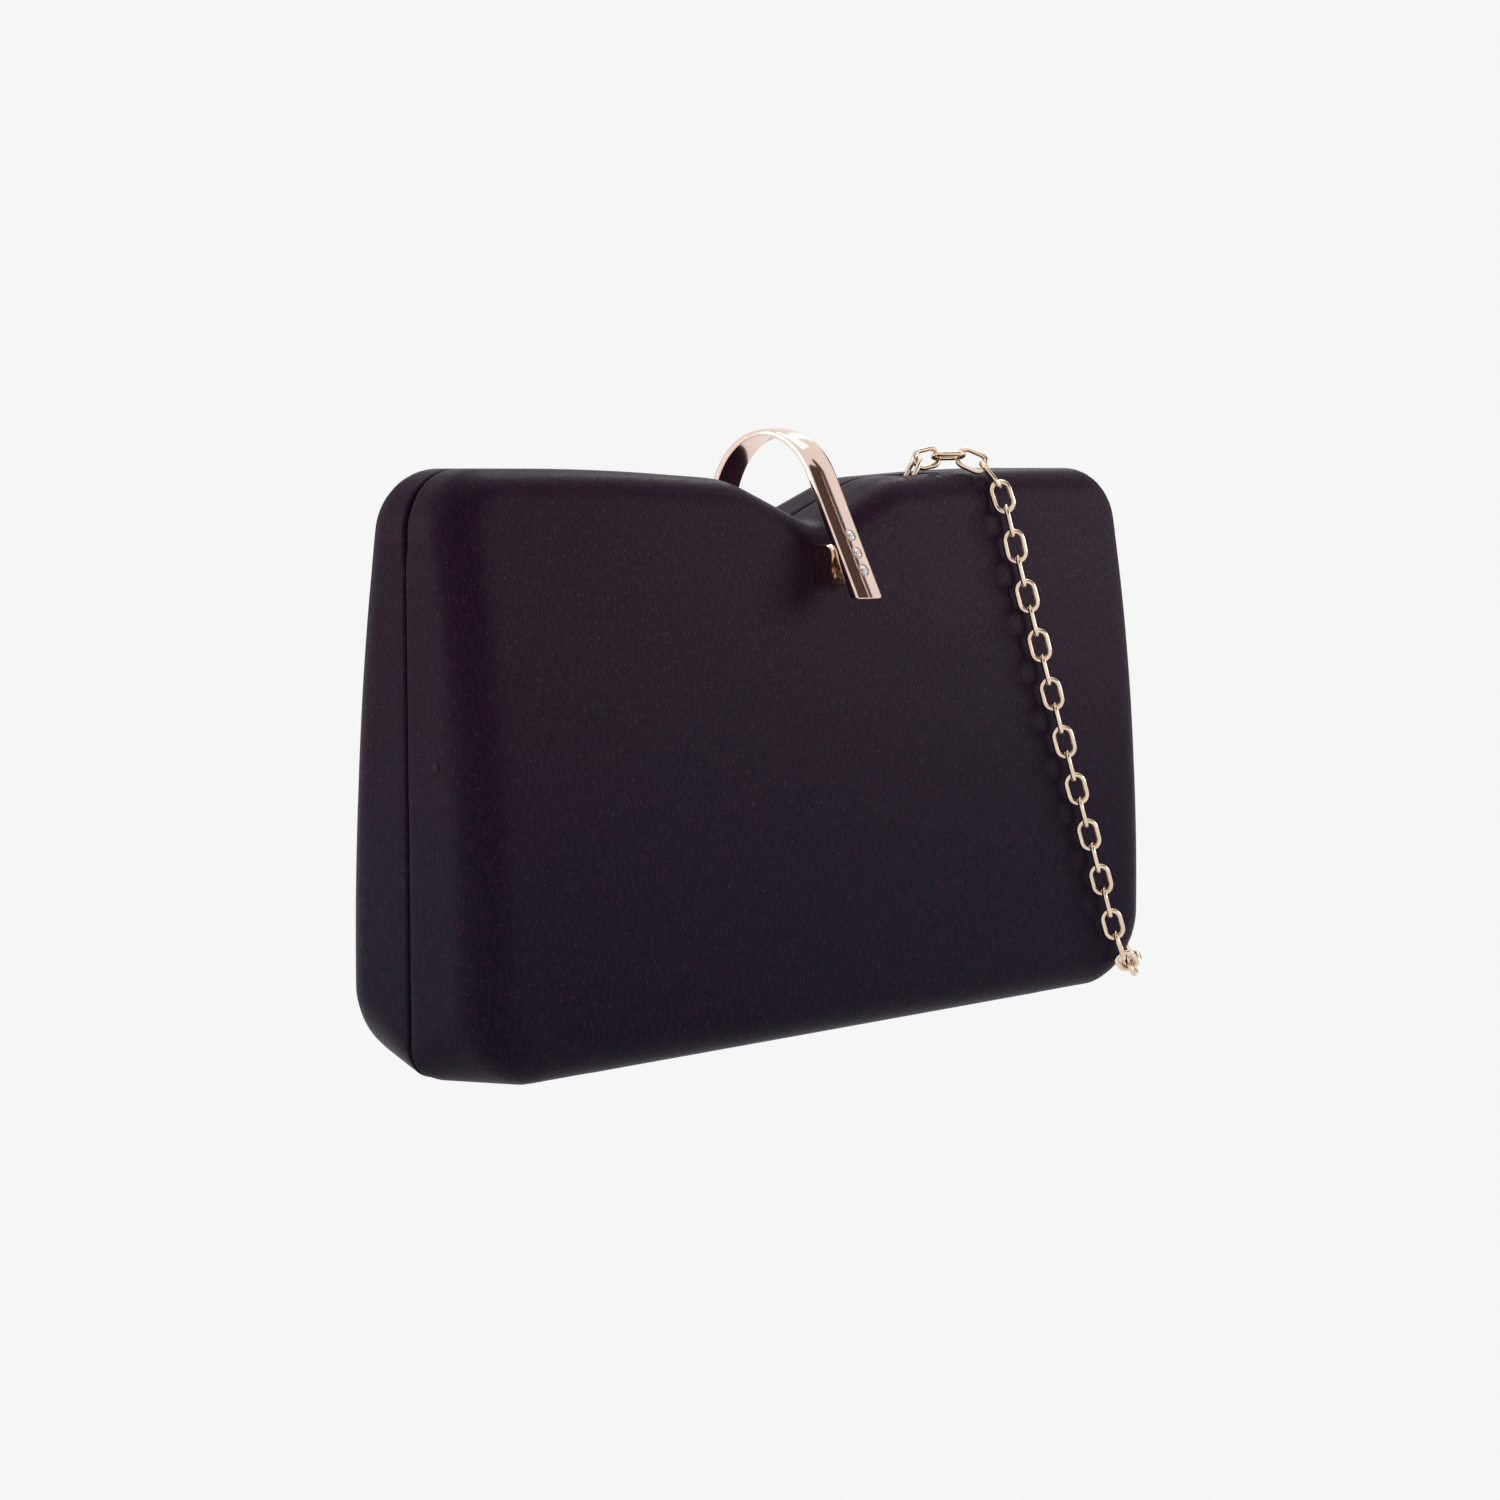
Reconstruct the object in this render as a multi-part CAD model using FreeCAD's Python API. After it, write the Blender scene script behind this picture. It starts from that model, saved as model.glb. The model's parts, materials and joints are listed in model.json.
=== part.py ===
import FreeCAD, Part

import math
import os

# Hard-case clutch purse: two fabric-covered half shells joined by a piano hinge along the
# bottom seam, closed by an arched lever that snaps onto a catch on the front face, with a
# cable chain clipped inside the front half.
# Millimetres. X along the purse, Y from front to back, Z up; the purse stands on Z = 0.
# Everything is modelled about the seam plane and moved to the row's frame on export.

# ---------------------------------------------------------------- driving dimensions
CASE_WIDTH = 211.4
CASE_HEIGHT = 127.6
HALF_DEPTH = 24.3            # seam plane to the widest point of one half
HALF_DEPTH_TOP = 13.0        # seam plane to the face, at the full height
WIDEST_HEIGHT = 18.6         # where the curved face is upright
CORNER_RADIUS_SEAM = 7.6     # bottom corners at the seam
CORNER_RADIUS_FACE = 18.0    # and where the rounding into the big face starts
CORNER_RADIUS_TOP = 13.4
EDGE_RADIUS = 8.4            # rounding between the big face and the sides
SEAM_GAP = 0.4               # open line between the closed halves

CROWN_SHARE = 0.587          # of the half width, where the top edge starts to fall
CROWN_RADIUS = 600.0
SHOULDER_X = 24.0
SHOULDER_DROP = 2.3
SHOULDER_RADIUS = 30.0
NOTCH_DROP = 12.0            # sharp depth of the V, before its round
NOTCH_RADIUS = 16.0

COVER_THICKNESS = 0.5        # satin over the outside
PADDING_THICKNESS = 0.6      # thin foam under the satin
SHELL_THICKNESS = 1.8
LINING_THICKNESS = 0.5
GLUE_GAP = 0.1
RIM_THICKNESS = 1.0
RIM_DEPTH = 5.0
RIM_END_MARGIN = 6.0         # the strip stops this far from the ends along the bottom
RIM_END_RISE = 2.0

HINGE_END_ROOM = 27.7        # from the end of the case to the end of the hinge
KNUCKLES = 9
KNUCKLE_RADIUS = 2.0
KNUCKLE_GAP = 0.3
KNUCKLE_FLOOR = 0.3          # the barrel clears the floor by this
HINGE_PIN_RADIUS = 0.75
RUNNING_FIT = 0.05
PIN_OVERHANG = 0.5           # hinge pin beyond the last knuckle
PIN_HEAD_RADIUS = 1.6
PIN_HEAD_THICKNESS = 0.8
HINGE_CHANNEL_SIDE = 0.6     # barrel to the cut edges of the shells
HINGE_CHANNEL_TOP = 0.7
HINGE_END_SIDE = 1.6
OPEN_ANGLE = 50.0            # the lid's limit
BEVEL_CLEARANCE = 0.4
LEAF_THICKNESS = 0.8
LEAF_REACH = 12.0
RIVET_RADIUS = 1.0
RIVET_HEAD_RADIUS = 1.9
RIVET_HEAD_HEIGHT = 0.7
HINGE_RIVETS = 5
HINGE_RIVET_END = 8.0        # from the leaf's end and from its edge
HINGE_RIVET_EDGE = 3.4

ARCH_CENTRE_Y = -0.76
ARCH_CENTRE_DROP = 11.5      # drops are measured down from the top of the case
ARCH_REACH = 5.7             # arch's inner radius beyond the top of the face
ARCH_THICKNESS = 2.6
ARCH_WIDTH_TOP = 7.4
ARCH_WIDTH_TIP = 9.0
LEG_LEAN_INNER = 23.0        # degrees from upright
LEG_LEAN_OUTER = 25.0
LEG_TIP_DROP = 28.7
CROWN_ROUND_FOOT = 0.9       # rounding of the lever's outer edges, at the foot and the tip
CROWN_ROUND_TIP = 3.2
PIVOT_DROP = 9.0
EYE_RADIUS = 2.3
PIVOT_PIN_RADIUS = 0.9
PIVOT_PIN_HEAD = 0.6
PIVOT_SIDE_GAP = 0.3
PIVOT_HEAD_GAP = 0.1

EAR_THICKNESS = 1.5
EAR_RADIUS = 2.6
BRACKET_HALF_WIDTH = 9.2
BRACKET_DROP = (28.5, 19.5)
BRACKET_THICKNESS = 1.0
EAR_FOOT_RISE = 3.0          # the ears leave the plate this far above its lower edge
EAR_SPREAD = 2.34            # half of the ear's width beside the pivot
EAR_FOOT_REACH = 2.2         # how far the ears' foot stands out of the face
EAR_FOOT_DEPTH = 8.0
BRACKET_SCREW_X = 7.4
SCREW_RADIUS = 0.8
SCREW_HEAD_RADIUS = 1.4
SCREW_HEAD_HEIGHT = 0.6
SCREW_SLOT_HALF = 1.0
SCREW_SLOT_WIDTH = 0.3
SCREW_SLOT_DEPTH = 0.24
BACKING_THICKNESS = 1.0
SEAT_GAP = 0.15              # hard trim to the satin it sits on

CATCH_HALF_WIDTH = 5.0
CATCH_DROP = (25.65, 17.05)
CATCH_REACH = 9.8            # beyond the top of the face
TRIM_BACK_Y = -4.0           # face trim is cut from blocks that start this far forward
CATCH_WALL = 0.8
CATCH_FLOOR = 1.2
CATCH_CORNER_RADIUS = 2.4
CATCH_RIVET_X = 3.2
CATCH_RIVET_RADIUS = 0.6
CATCH_RIVET_HEAD = 0.9
CATCH_RIVET_HEIGHT = 0.45
RIVET_TAIL = 0.3             # rivets and screws beyond the plate inside
SPRING_THICKNESS = 0.3
SPRING_CLEARANCE = 0.35
SPRING_LENGTH = 3.6
SPRING_HEIGHT = 3.6
SPRING_SIDE = 0.25
LUG_HALF_WIDTH = 1.6
LUG_REACH = 5.6
LUG_HEIGHT = 2.2
LUG_DROP = 19.8
LUG_ROUND = 0.9

STONES = 3
STONE_RADIUS = 1.25
STONE_PITCH = 4.3
FIRST_STONE_FROM_TIP = 6.6   # along the leg, from the tip to the lowest stone
STONE_TABLE_SHARE = 0.58     # of the stone's radius
STONE_CROWN_HEIGHT = 0.38
STONE_GIRDLE_HEIGHT = 0.12
STONE_PAVILION_DEPTH = 0.74
STONE_SINK = 0.1             # girdle above the leg's crest
COLLET_RADIUS = 1.65
COLLET_DEPTH = 1.3
COLLET_PROUD = 0.25
COLLET_FLOOR = 0.4

ANCHOR_SHARE = 0.526         # of the case's height
ANCHOR_Y = -10.1
ANCHOR_PLATE = 8.4
ANCHOR_PLATE_THICKNESS = 0.9
ANCHOR_EYE_RADIUS = 3.0
ANCHOR_EYE_WIRE = 0.7
ANCHOR_EYE_OUT = 2.16        # eye's centre from its plate
ANCHOR_WALL_ROOM = 5.0
ANCHOR_RIVET_RADIUS = 0.8
ANCHOR_RIVET_HEAD = 0.9
ANCHOR_RIVET_PROUD = 0.2
CLIP_RADIUS = 3.2
CLIP_WIRE = 0.65
CLIP_TILT = {1: 60.0, -1: -60.0}   # degrees above level, right and left

CHAIN_WIDTH = 5.5
SLOT_CLEARANCE = 0.6
TOP_SLOT_X = (32.5, 44.5)
TOP_SLOT_DEPTH = 14.0
SLOT_RADIUS = 2.4
SIDE_SLOT_DROP = (18.0, 5.0)
SIDE_SLOT_REACH = 12.0       # in from the end of the case
SIDE_GAP_WIDTH = 1.4         # narrow relief at the other end of the seam

# ---------------------------------------------------------------- the chain's route
# Points chosen by hand, from the ring at the right anchor, out through the side slot, down
# the right end, round the bottom corner, up the front, over the top, in through the top slot
# and down inside to the hank on the floor of the front half.
CHAIN_ROUTE = [
    (94.3, -10.1, 74.9),
    (93.1, -8.6, 84.3),
    (95.7, -5.6, 98.4),
    (97.1, -4.2, 110.2),
    (100.9, -3.8, 114.0),
    (106.3, -3.8, 114.0),
    (110.0, -4.0, 110.2),
    (109.2, -4.8, 98.6),
    (109.1, -5.8, 66.0),
    (109.3, -7.2, 34.0),
    (109.1, -10.4, 16.4),
    (107.6, -14.6, 7.2),
    (102.9, -21.6, 3.2),
    (96.4, -27.6, 4.4),
    (91.0, -28.4, 12.4),
    (84.8, -27.8, 23.6),
    (78.3, -27.4, 40.0),
    (72.7, -26.5, 56.0),
    (67.7, -24.9, 72.6),
    (63.3, -22.8, 90.0),
    (60.0, -20.2, 106.0),
    (58.2, -18.8, 117.0),
    (57.2, -16.9, 126.2),
    (55.2, -9.8, 131.5),
    (49.4, -4.6, 131.2),
    (41.4, -3.6, 130.8),
    (38.4, -3.5, 124.0),
    (38.4, -3.6, 108.0),
    (39.2, -4.1, 74.0),
    (40.6, -4.4, 45.0),
    (38.6, -4.8, 30.0),
    (31.6, -5.1, 21.7),
    (22.0, -5.1, 19.9),
]
# From the hank's lowest turn along the floor and up to the ring at the left anchor.
TAIL_ROUTE = [
    (-56.0, -5.1, 8.5),
    (-69.0, -5.1, 8.6),
    (-81.0, -5.8, 11.6),
    (-89.6, -7.7, 20.4),
    (-93.4, -9.4, 34.0),
    (-93.9, -10.1, 47.0),
    (-94.5, -10.1, 59.3),
]
HANK_STRAIGHT = 110.0        # the straight part of one turn
HANK_TURN_RADIUS = 6.0
HANK_PITCH = 5.75            # rise of one turn
HANK_TURNS = 3
HANK_ROUND = 2.65
HANK_FLOOR = 8.5             # centre of the lowest turn
HANK_Y = -11.1
ROUTE_CASE = (211.4, 24.3, 127.6)   # width, half depth and height that the points were chosen on
ROUTE_SHARE = 0.45           # of the shorter run beside a point, taken up by its arc

# ---------------------------------------------------------------- worked out from them
HALF_WIDTH = CASE_WIDTH / 2
CROWN_X = CROWN_SHARE * HALF_WIDTH
CORNER_GROWTH = (CORNER_RADIUS_FACE - CORNER_RADIUS_SEAM) / (HALF_DEPTH - EDGE_RADIUS)
FACE_RADIUS = (((CASE_HEIGHT - WIDEST_HEIGHT) ** 2 + (HALF_DEPTH - HALF_DEPTH_TOP) ** 2)
               / (2 * (HALF_DEPTH - HALF_DEPTH_TOP)))
COVER_IN = COVER_THICKNESS
PADDING_OUT = COVER_IN + GLUE_GAP
PADDING_IN = PADDING_OUT + PADDING_THICKNESS
SHELL_OUT = PADDING_IN + GLUE_GAP
SHELL_IN = SHELL_OUT + SHELL_THICKNESS
LINING_OUT = SHELL_IN + GLUE_GAP
LINING_IN = LINING_OUT + LINING_THICKNESS
INSIDE = LINING_IN + GLUE_GAP          # where loose fittings may lie on the lining
RIM_IN = INSIDE + RIM_THICKNESS
HINGE_HALF_LENGTH = HALF_WIDTH - HINGE_END_ROOM
HINGE_Z = KNUCKLE_RADIUS + KNUCKLE_FLOOR
CHANNEL_HALF = KNUCKLE_RADIUS + HINGE_CHANNEL_SIDE
CHANNEL_TOP = HINGE_Z + KNUCKLE_RADIUS + HINGE_CHANNEL_TOP
SEAM_HALF = SEAM_GAP / 2
TURN_START = -SEAM_HALF - COVER_THICKNESS - GLUE_GAP   # of the layers behind the turned satin
ARCH_CENTRE_Z = CASE_HEIGHT - ARCH_CENTRE_DROP
ARCH_INNER_RADIUS = HALF_DEPTH_TOP + ARCH_REACH
ARCH_OUTER_RADIUS = ARCH_INNER_RADIUS + ARCH_THICKNESS
ARCH_MID_RADIUS = ARCH_INNER_RADIUS + ARCH_THICKNESS / 2
LEG_TIP_Z = CASE_HEIGHT - LEG_TIP_DROP
PIVOT_Z = CASE_HEIGHT - PIVOT_DROP
BRACKET_Z = tuple(CASE_HEIGHT - drop for drop in BRACKET_DROP)
CATCH_Z = tuple(CASE_HEIGHT - drop for drop in CATCH_DROP)
CATCH_REACH_Y = -HALF_DEPTH_TOP - CATCH_REACH
LUG_Z = CASE_HEIGHT - LUG_DROP
ANCHOR_Z = ANCHOR_SHARE * CASE_HEIGHT
SIDE_SLOT_Z = tuple(CASE_HEIGHT - drop for drop in SIDE_SLOT_DROP)
PIVOT_Y = ARCH_CENTRE_Y + math.sqrt(ARCH_MID_RADIUS ** 2 - (PIVOT_Z - ARCH_CENTRE_Z) ** 2)
SLOT_DEPTH = CHAIN_WIDTH + 2 * SLOT_CLEARANCE
FAR = 400.0
NUDGE = 1.0

X_AXIS = FreeCAD.Vector(1, 0, 0)
Y_AXIS = FreeCAD.Vector(0, 1, 0)
Z_AXIS = FreeCAD.Vector(0, 0, 1)
ORIGIN = FreeCAD.Vector(0, 0, 0)


# ---------------------------------------------------------------- helpers
def vec(x, y, z):
    return FreeCAD.Vector(x, y, z)


def in_xz(a, b):
    return vec(a, 0, b)


def in_yz(a, b):
    return vec(0, a, b)


def box(x, y, z):
    """A box from three (low, high) pairs."""
    return Part.makeBox(x[1] - x[0], y[1] - y[0], z[1] - z[0], vec(x[0], y[0], z[0]))


def rod(radius, start, end):
    """A cylinder between two points."""
    way = end - start
    return Part.makeCylinder(radius, way.Length, start, way)


def bar_along_x(radius, half, y, z):
    """A cylinder along X, the same to both sides of the middle."""
    return Part.makeCylinder(radius, 2 * half, vec(-half, y, z), X_AXIS)


def mirrored(shape):
    """The same piece on the other side of the seam plane."""
    return shape.mirror(ORIGIN, Y_AXIS)


def unit(a, b):
    length = math.hypot(a, b)
    return a / length, b / length


def inset_corners(corners, inset):
    """Move every side of an anticlockwise outline inwards, keeping its rounds parallel.

    A sharp corner stays sharp."""
    moved = []
    for i, (a, b, radius) in enumerate(corners):
        before = corners[i - 1]
        after = corners[(i + 1) % len(corners)]
        ua, ub = unit(a - before[0], b - before[1])
        va, vb = unit(after[0] - a, after[1] - b)
        turn = ua * vb - ub * va
        # Where the two sides meet once each has moved along its own inward normal.
        share = (inset - inset * (ua * va + ub * vb)) / turn
        convex = math.copysign(1.0, turn)
        moved.append((a - ub * inset - ua * share, b + ua * inset - ub * share,
                      radius - convex * inset if radius else 0.0))
    return moved


def rounded_wire(corners, place):
    """A closed wire through corners (a, b, radius), each rounded by a tangent arc."""
    edges = []
    ends = []
    for i, (a, b, radius) in enumerate(corners):
        before = corners[i - 1]
        after = corners[(i + 1) % len(corners)]
        ua, ub = unit(a - before[0], b - before[1])
        va, vb = unit(after[0] - a, after[1] - b)
        half_turn = math.acos(max(-1.0, min(1.0, ua * va + ub * vb))) / 2
        if radius <= 0:
            ends.append(((a, b), None, (a, b)))
            continue
        back = radius * math.tan(half_turn)
        ba, bb = unit(va - ua, vb - ub)
        rise = radius / math.cos(half_turn) - radius
        ends.append(((a - ua * back, b - ub * back), (a + ba * rise, b + bb * rise),
                     (a + va * back, b + vb * back)))
    for i, (start, middle, end) in enumerate(ends):
        if middle:
            edges.append(Part.Arc(place(*start), place(*middle), place(*end)).toShape())
        nearest = ends[(i + 1) % len(ends)][0]
        if math.hypot(nearest[0] - end[0], nearest[1] - end[1]) > 1e-6:
            edges.append(Part.LineSegment(place(*end), place(*nearest)).toShape())
    return Part.Wire(Part.__sortEdges__(edges))


def case_corners():
    """The outline of the purse seen from the front, anticlockwise from its bottom corner.

    The bottom corners are left sharp: their round grows with depth and is cut later."""
    right = [
        (HALF_WIDTH, 0.0, 0.0),
        (HALF_WIDTH, CASE_HEIGHT, CORNER_RADIUS_TOP),
        (CROWN_X, CASE_HEIGHT, CROWN_RADIUS),
        (SHOULDER_X, CASE_HEIGHT - SHOULDER_DROP, SHOULDER_RADIUS),
    ]
    left = [(-a, b, radius) for a, b, radius in reversed(right)]
    return right + [(0.0, CASE_HEIGHT - NOTCH_DROP, NOTCH_RADIUS)] + left


def face_y(height, inset=0.0):
    """How far in front of the seam plane the big face stands at a height (negative)."""
    radius = FACE_RADIUS - inset
    return FACE_RADIUS - HALF_DEPTH - math.sqrt(radius ** 2 - (height - WIDEST_HEIGHT) ** 2)


def face_tilt(height):
    """How far the big face leans back at a height, in radians."""
    return math.asin((height - WIDEST_HEIGHT) / FACE_RADIUS)


def face_place(x, height, outward):
    """The point a distance outside the big face, straight out from it."""
    tilt = face_tilt(height)
    return vec(x, face_y(height) - outward * math.cos(tilt), height + outward * math.sin(tilt))


def face_hole(radius, x, height):
    """A round hole straight through the big face."""
    return rod(radius, face_place(x, height, -INSIDE - 3 * NUDGE), face_place(x, height, 5 * NUDGE))


def corner_radius(y, inset):
    """The round of a bottom corner, which grows from the seam towards the big face."""
    return CORNER_RADIUS_SEAM - CORNER_GROWTH * y - inset


def half_body(inset, start=-SEAM_HALF):
    """The front half as a full solid, its outside moved inwards by inset."""
    outline = rounded_wire(inset_corners(case_corners(), inset), in_xz)
    outline.translate(vec(0, start, 0))
    end = -HALF_DEPTH - 5 * NUDGE
    block = Part.Face(outline).extrude(vec(0, end - start, 0))
    corners = [e for e in block.Edges if abs(e.CenterOfMass.z - inset) < NUDGE / 2
               and abs(abs(e.CenterOfMass.x) - HALF_WIDTH + inset) < NUDGE / 2]
    block = block.makeFillet(corner_radius(start, inset), corner_radius(end, inset), corners)
    radius = FACE_RADIUS - inset
    drum = bar_along_x(radius, FAR, FACE_RADIUS - HALF_DEPTH, WIDEST_HEIGHT)
    body = block.common(drum).Solids[0]
    rim = []
    for face in body.Faces:
        surface = face.Surface
        if isinstance(surface, Part.Cylinder) and abs(surface.Radius - radius) < 0.01:
            rim.extend(face.OuterWire.Edges)
    return body.makeFillet(EDGE_RADIUS - inset, rim)


def layer(outer, inner, start=-SEAM_HALF):
    """One open-backed layer of the front half, between two insets."""
    return half_body(outer, start).cut(half_body(inner, NUDGE))


def cover_layer():
    """The satin over the outside, turned in over the edge of the shell at the seam."""
    turned = half_body(0.0).cut(half_body(COVER_IN, -SEAM_HALF - COVER_THICKNESS))
    return turned.cut(half_body(SHELL_IN, NUDGE))


# ---------------------------------------------------------------- cuts through the halves
def hinge_channel():
    """Room for the hinge barrel, and bevels beside it that meet when the purse is open."""
    reach = HINGE_HALF_LENGTH + HINGE_END_SIDE
    barrel = box((-reach, reach), (-CHANNEL_HALF, NUDGE), (-NUDGE, CHANNEL_TOP))
    spread = math.tan(math.radians(OPEN_ANGLE / 2)) * (HINGE_Z + NUDGE) + BEVEL_CLEARANCE
    bevel = Part.Face(Part.makePolygon([in_yz(NUDGE, -NUDGE), in_yz(-spread, -NUDGE),
                                        in_yz(-BEVEL_CLEARANCE, HINGE_Z), in_yz(NUDGE, HINGE_Z + NUDGE),
                                        in_yz(NUDGE, -NUDGE)])).extrude(vec(CASE_WIDTH, 0, 0))
    bevel.translate(vec(-HALF_WIDTH, 0, 0))
    return barrel.fuse(bevel)


def hinge_rivet_places():
    last = HINGE_HALF_LENGTH - HINGE_RIVET_END
    step = 2 * last / (HINGE_RIVETS - 1)
    return [(-last + step * i, -LEAF_REACH + HINGE_RIVET_EDGE) for i in range(HINGE_RIVETS)]


def hinge_rivet_holes():
    """Holes through the bottom of the shell and lining, under the cover."""
    return [rod(RIVET_RADIUS + RUNNING_FIT, vec(x, y, -NUDGE), vec(x, y, INSIDE + 5 * NUDGE))
            for x, y in hinge_rivet_places()]


def top_slot():
    """Where the chain comes out over the top of the front half."""
    slot = box(TOP_SLOT_X, (-SLOT_DEPTH, NUDGE), (CASE_HEIGHT - TOP_SLOT_DEPTH, CASE_HEIGHT + NUDGE))
    return slot.makeFillet(SLOT_RADIUS, [e for e in slot.Edges
                                         if abs(e.tangentAt(0).z) > 0.9 and e.CenterOfMass.y < -NUDGE])


def side_slot():
    """Where the chain goes in again at the right end of the front half."""
    slot = box((HALF_WIDTH - SIDE_SLOT_REACH, HALF_WIDTH + NUDGE), (-SLOT_DEPTH, NUDGE), SIDE_SLOT_Z)
    return slot.makeFillet(SLOT_RADIUS, [e for e in slot.Edges
                                         if abs(e.tangentAt(0).x) > 0.9 and e.CenterOfMass.y < -NUDGE])


def side_gap():
    """The narrow relief at the left end of the seam."""
    return box((-HALF_WIDTH - NUDGE, -HALF_WIDTH + SIDE_SLOT_REACH), (-SIDE_GAP_WIDTH, NUDGE), SIDE_SLOT_Z)


def catch_rivet_z():
    return (CATCH_Z[0] + CATCH_FLOOR + CATCH_Z[1]) / 2


def catch_rivet_holes():
    return [face_hole(CATCH_RIVET_RADIUS + RUNNING_FIT, side * CATCH_RIVET_X, catch_rivet_z())
            for side in (-1, 1)]


def anchor_rivet_holes():
    return [rod(ANCHOR_RIVET_RADIUS + RUNNING_FIT,
                vec(side * (HALF_WIDTH - INSIDE - ANCHOR_WALL_ROOM), ANCHOR_Y, ANCHOR_Z),
                vec(side * (HALF_WIDTH + NUDGE), ANCHOR_Y, ANCHOR_Z)) for side in (-1, 1)]


def bracket_screw_z():
    return sum(BRACKET_Z) / 2


def bracket_screw_holes():
    return [face_hole(SCREW_RADIUS + RUNNING_FIT, side * BRACKET_SCREW_X, bracket_screw_z())
            for side in (-1, 1)]


def cut_all(shape, cutters):
    return shape.cut(Part.makeCompound(cutters)) if cutters else shape


# ---------------------------------------------------------------- the two halves
def rim_frame():
    """A metal strip inside the mouth of one half, broken where the hinge sits."""
    ring = layer(INSIDE, RIM_IN).common(box((-FAR, FAR), (-RIM_DEPTH, NUDGE), (-FAR, FAR)))
    reach = HALF_WIDTH - RIM_END_MARGIN
    gap = box((-reach, reach), (-RIM_DEPTH - NUDGE, NUDGE), (-NUDGE, RIM_IN + RIM_END_RISE))
    return ring.cut(gap)


def half_nodes(name, outside_cuts, shell_cuts):
    """The layers of one half, in the place of the front half."""
    everywhere = outside_cuts + [hinge_channel()]
    return {
        name + "_cover": cut_all(cover_layer(), everywhere),
        name + "_padding": cut_all(layer(PADDING_OUT, PADDING_IN, TURN_START), everywhere),
        name + "_shell": cut_all(layer(SHELL_OUT, SHELL_IN, TURN_START), everywhere + shell_cuts),
        name + "_lining": cut_all(layer(LINING_OUT, LINING_IN), everywhere + shell_cuts),
        name + "_rim_frame": cut_all(rim_frame(), outside_cuts),
    }


# ---------------------------------------------------------------- hinge
def knuckle_spans():
    pitch = 2 * HINGE_HALF_LENGTH / KNUCKLES
    return [(-HINGE_HALF_LENGTH + pitch * i + KNUCKLE_GAP / 2,
             -HINGE_HALF_LENGTH + pitch * (i + 1) - KNUCKLE_GAP / 2) for i in range(KNUCKLES)]


def hinge_leaf(first):
    """A leaf with every second knuckle, lying in the front half on its lining."""
    low = INSIDE
    plate = box((-HINGE_HALF_LENGTH, HINGE_HALF_LENGTH),
                (-LEAF_REACH, -KNUCKLE_RADIUS - KNUCKLE_GAP), (low, low + LEAF_THICKNESS))
    parts = [plate]
    for x0, x1 in knuckle_spans()[first::2]:
        parts.append(Part.makeCylinder(KNUCKLE_RADIUS, x1 - x0, vec(x0, 0, HINGE_Z), X_AXIS))
        web_in = KNUCKLE_RADIUS / 2
        parts.append(box((x0, x1), (-KNUCKLE_RADIUS - 2 * KNUCKLE_GAP, -web_in),
                         (low, low + LEAF_THICKNESS)))
    leaf = parts[0].multiFuse(parts[1:]).removeSplitter()
    bore = bar_along_x(HINGE_PIN_RADIUS + RUNNING_FIT, HINGE_HALF_LENGTH + NUDGE, 0, HINGE_Z)
    return leaf.cut(bore).cut(Part.makeCompound(hinge_rivet_holes()))


def hinge_pin():
    pin = bar_along_x(HINGE_PIN_RADIUS, HINGE_HALF_LENGTH + PIN_OVERHANG, 0, HINGE_Z)
    near = HINGE_HALF_LENGTH + KNUCKLE_GAP
    heads = [Part.makeCylinder(PIN_HEAD_RADIUS, PIN_HEAD_THICKNESS, vec(x, 0, HINGE_Z), X_AXIS)
             for x in (-near - PIN_HEAD_THICKNESS, near)]
    return pin.multiFuse(heads)


def rivet(radius, head_radius, head_height, foot, head):
    """A rivet from its flush foot to its domed head, which stands beyond the second point."""
    way = (head - foot).normalize()
    shank = rod(radius, foot, head + way * (head_height * 0.3))
    disc = rod(head_radius, head, head + way * head_height)
    rim = [e for e in disc.Edges if isinstance(e.Curve, Part.Circle)
           and (e.Curve.Center - head).Length > head_height / 2]
    return shank.fuse(disc.makeFillet(head_height * 0.6, rim)).removeSplitter()


def hinge_rivets():
    top = INSIDE + LEAF_THICKNESS + RUNNING_FIT
    return Part.makeCompound([
        rivet(RIVET_RADIUS, RIVET_HEAD_RADIUS, RIVET_HEAD_HEIGHT, vec(x, y, SHELL_OUT), vec(x, y, top))
        for x, y in hinge_rivet_places()])


# ---------------------------------------------------------------- catch on the front
def catch_housing():
    """A small open-fronted box: two cheeks, a floor and a back plate lying on the satin."""
    low, high = CATCH_Z
    outer = box((-CATCH_HALF_WIDTH, CATCH_HALF_WIDTH), (CATCH_REACH_Y, TRIM_BACK_Y), (low, high))
    outer = outer.makeFillet(CATCH_CORNER_RADIUS, [
        e for e in outer.Edges if abs(e.tangentAt(0).x) > 0.9
        and e.CenterOfMass.y < CATCH_REACH_Y + NUDGE and e.CenterOfMass.z > high - NUDGE])
    inner = box((-CATCH_HALF_WIDTH + CATCH_WALL, CATCH_HALF_WIDTH - CATCH_WALL),
                (CATCH_REACH_Y - NUDGE, 0.0), (low + CATCH_FLOOR, high + NUDGE))
    walls = outer.cut(inner)
    back = outer.common(half_body(-SEAT_GAP - CATCH_WALL))
    housing = walls.fuse(back).cut(half_body(-SEAT_GAP, NUDGE)).removeSplitter()
    return housing.cut(Part.makeCompound(catch_rivet_holes()))


def on_face(shape, height):
    """Stand a piece made about the origin, with -Y outwards, on the big face."""
    shape.rotate(ORIGIN, X_AXIS, -math.degrees(face_tilt(height)))
    shape.translate(face_place(0, height, 0))
    return shape


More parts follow.
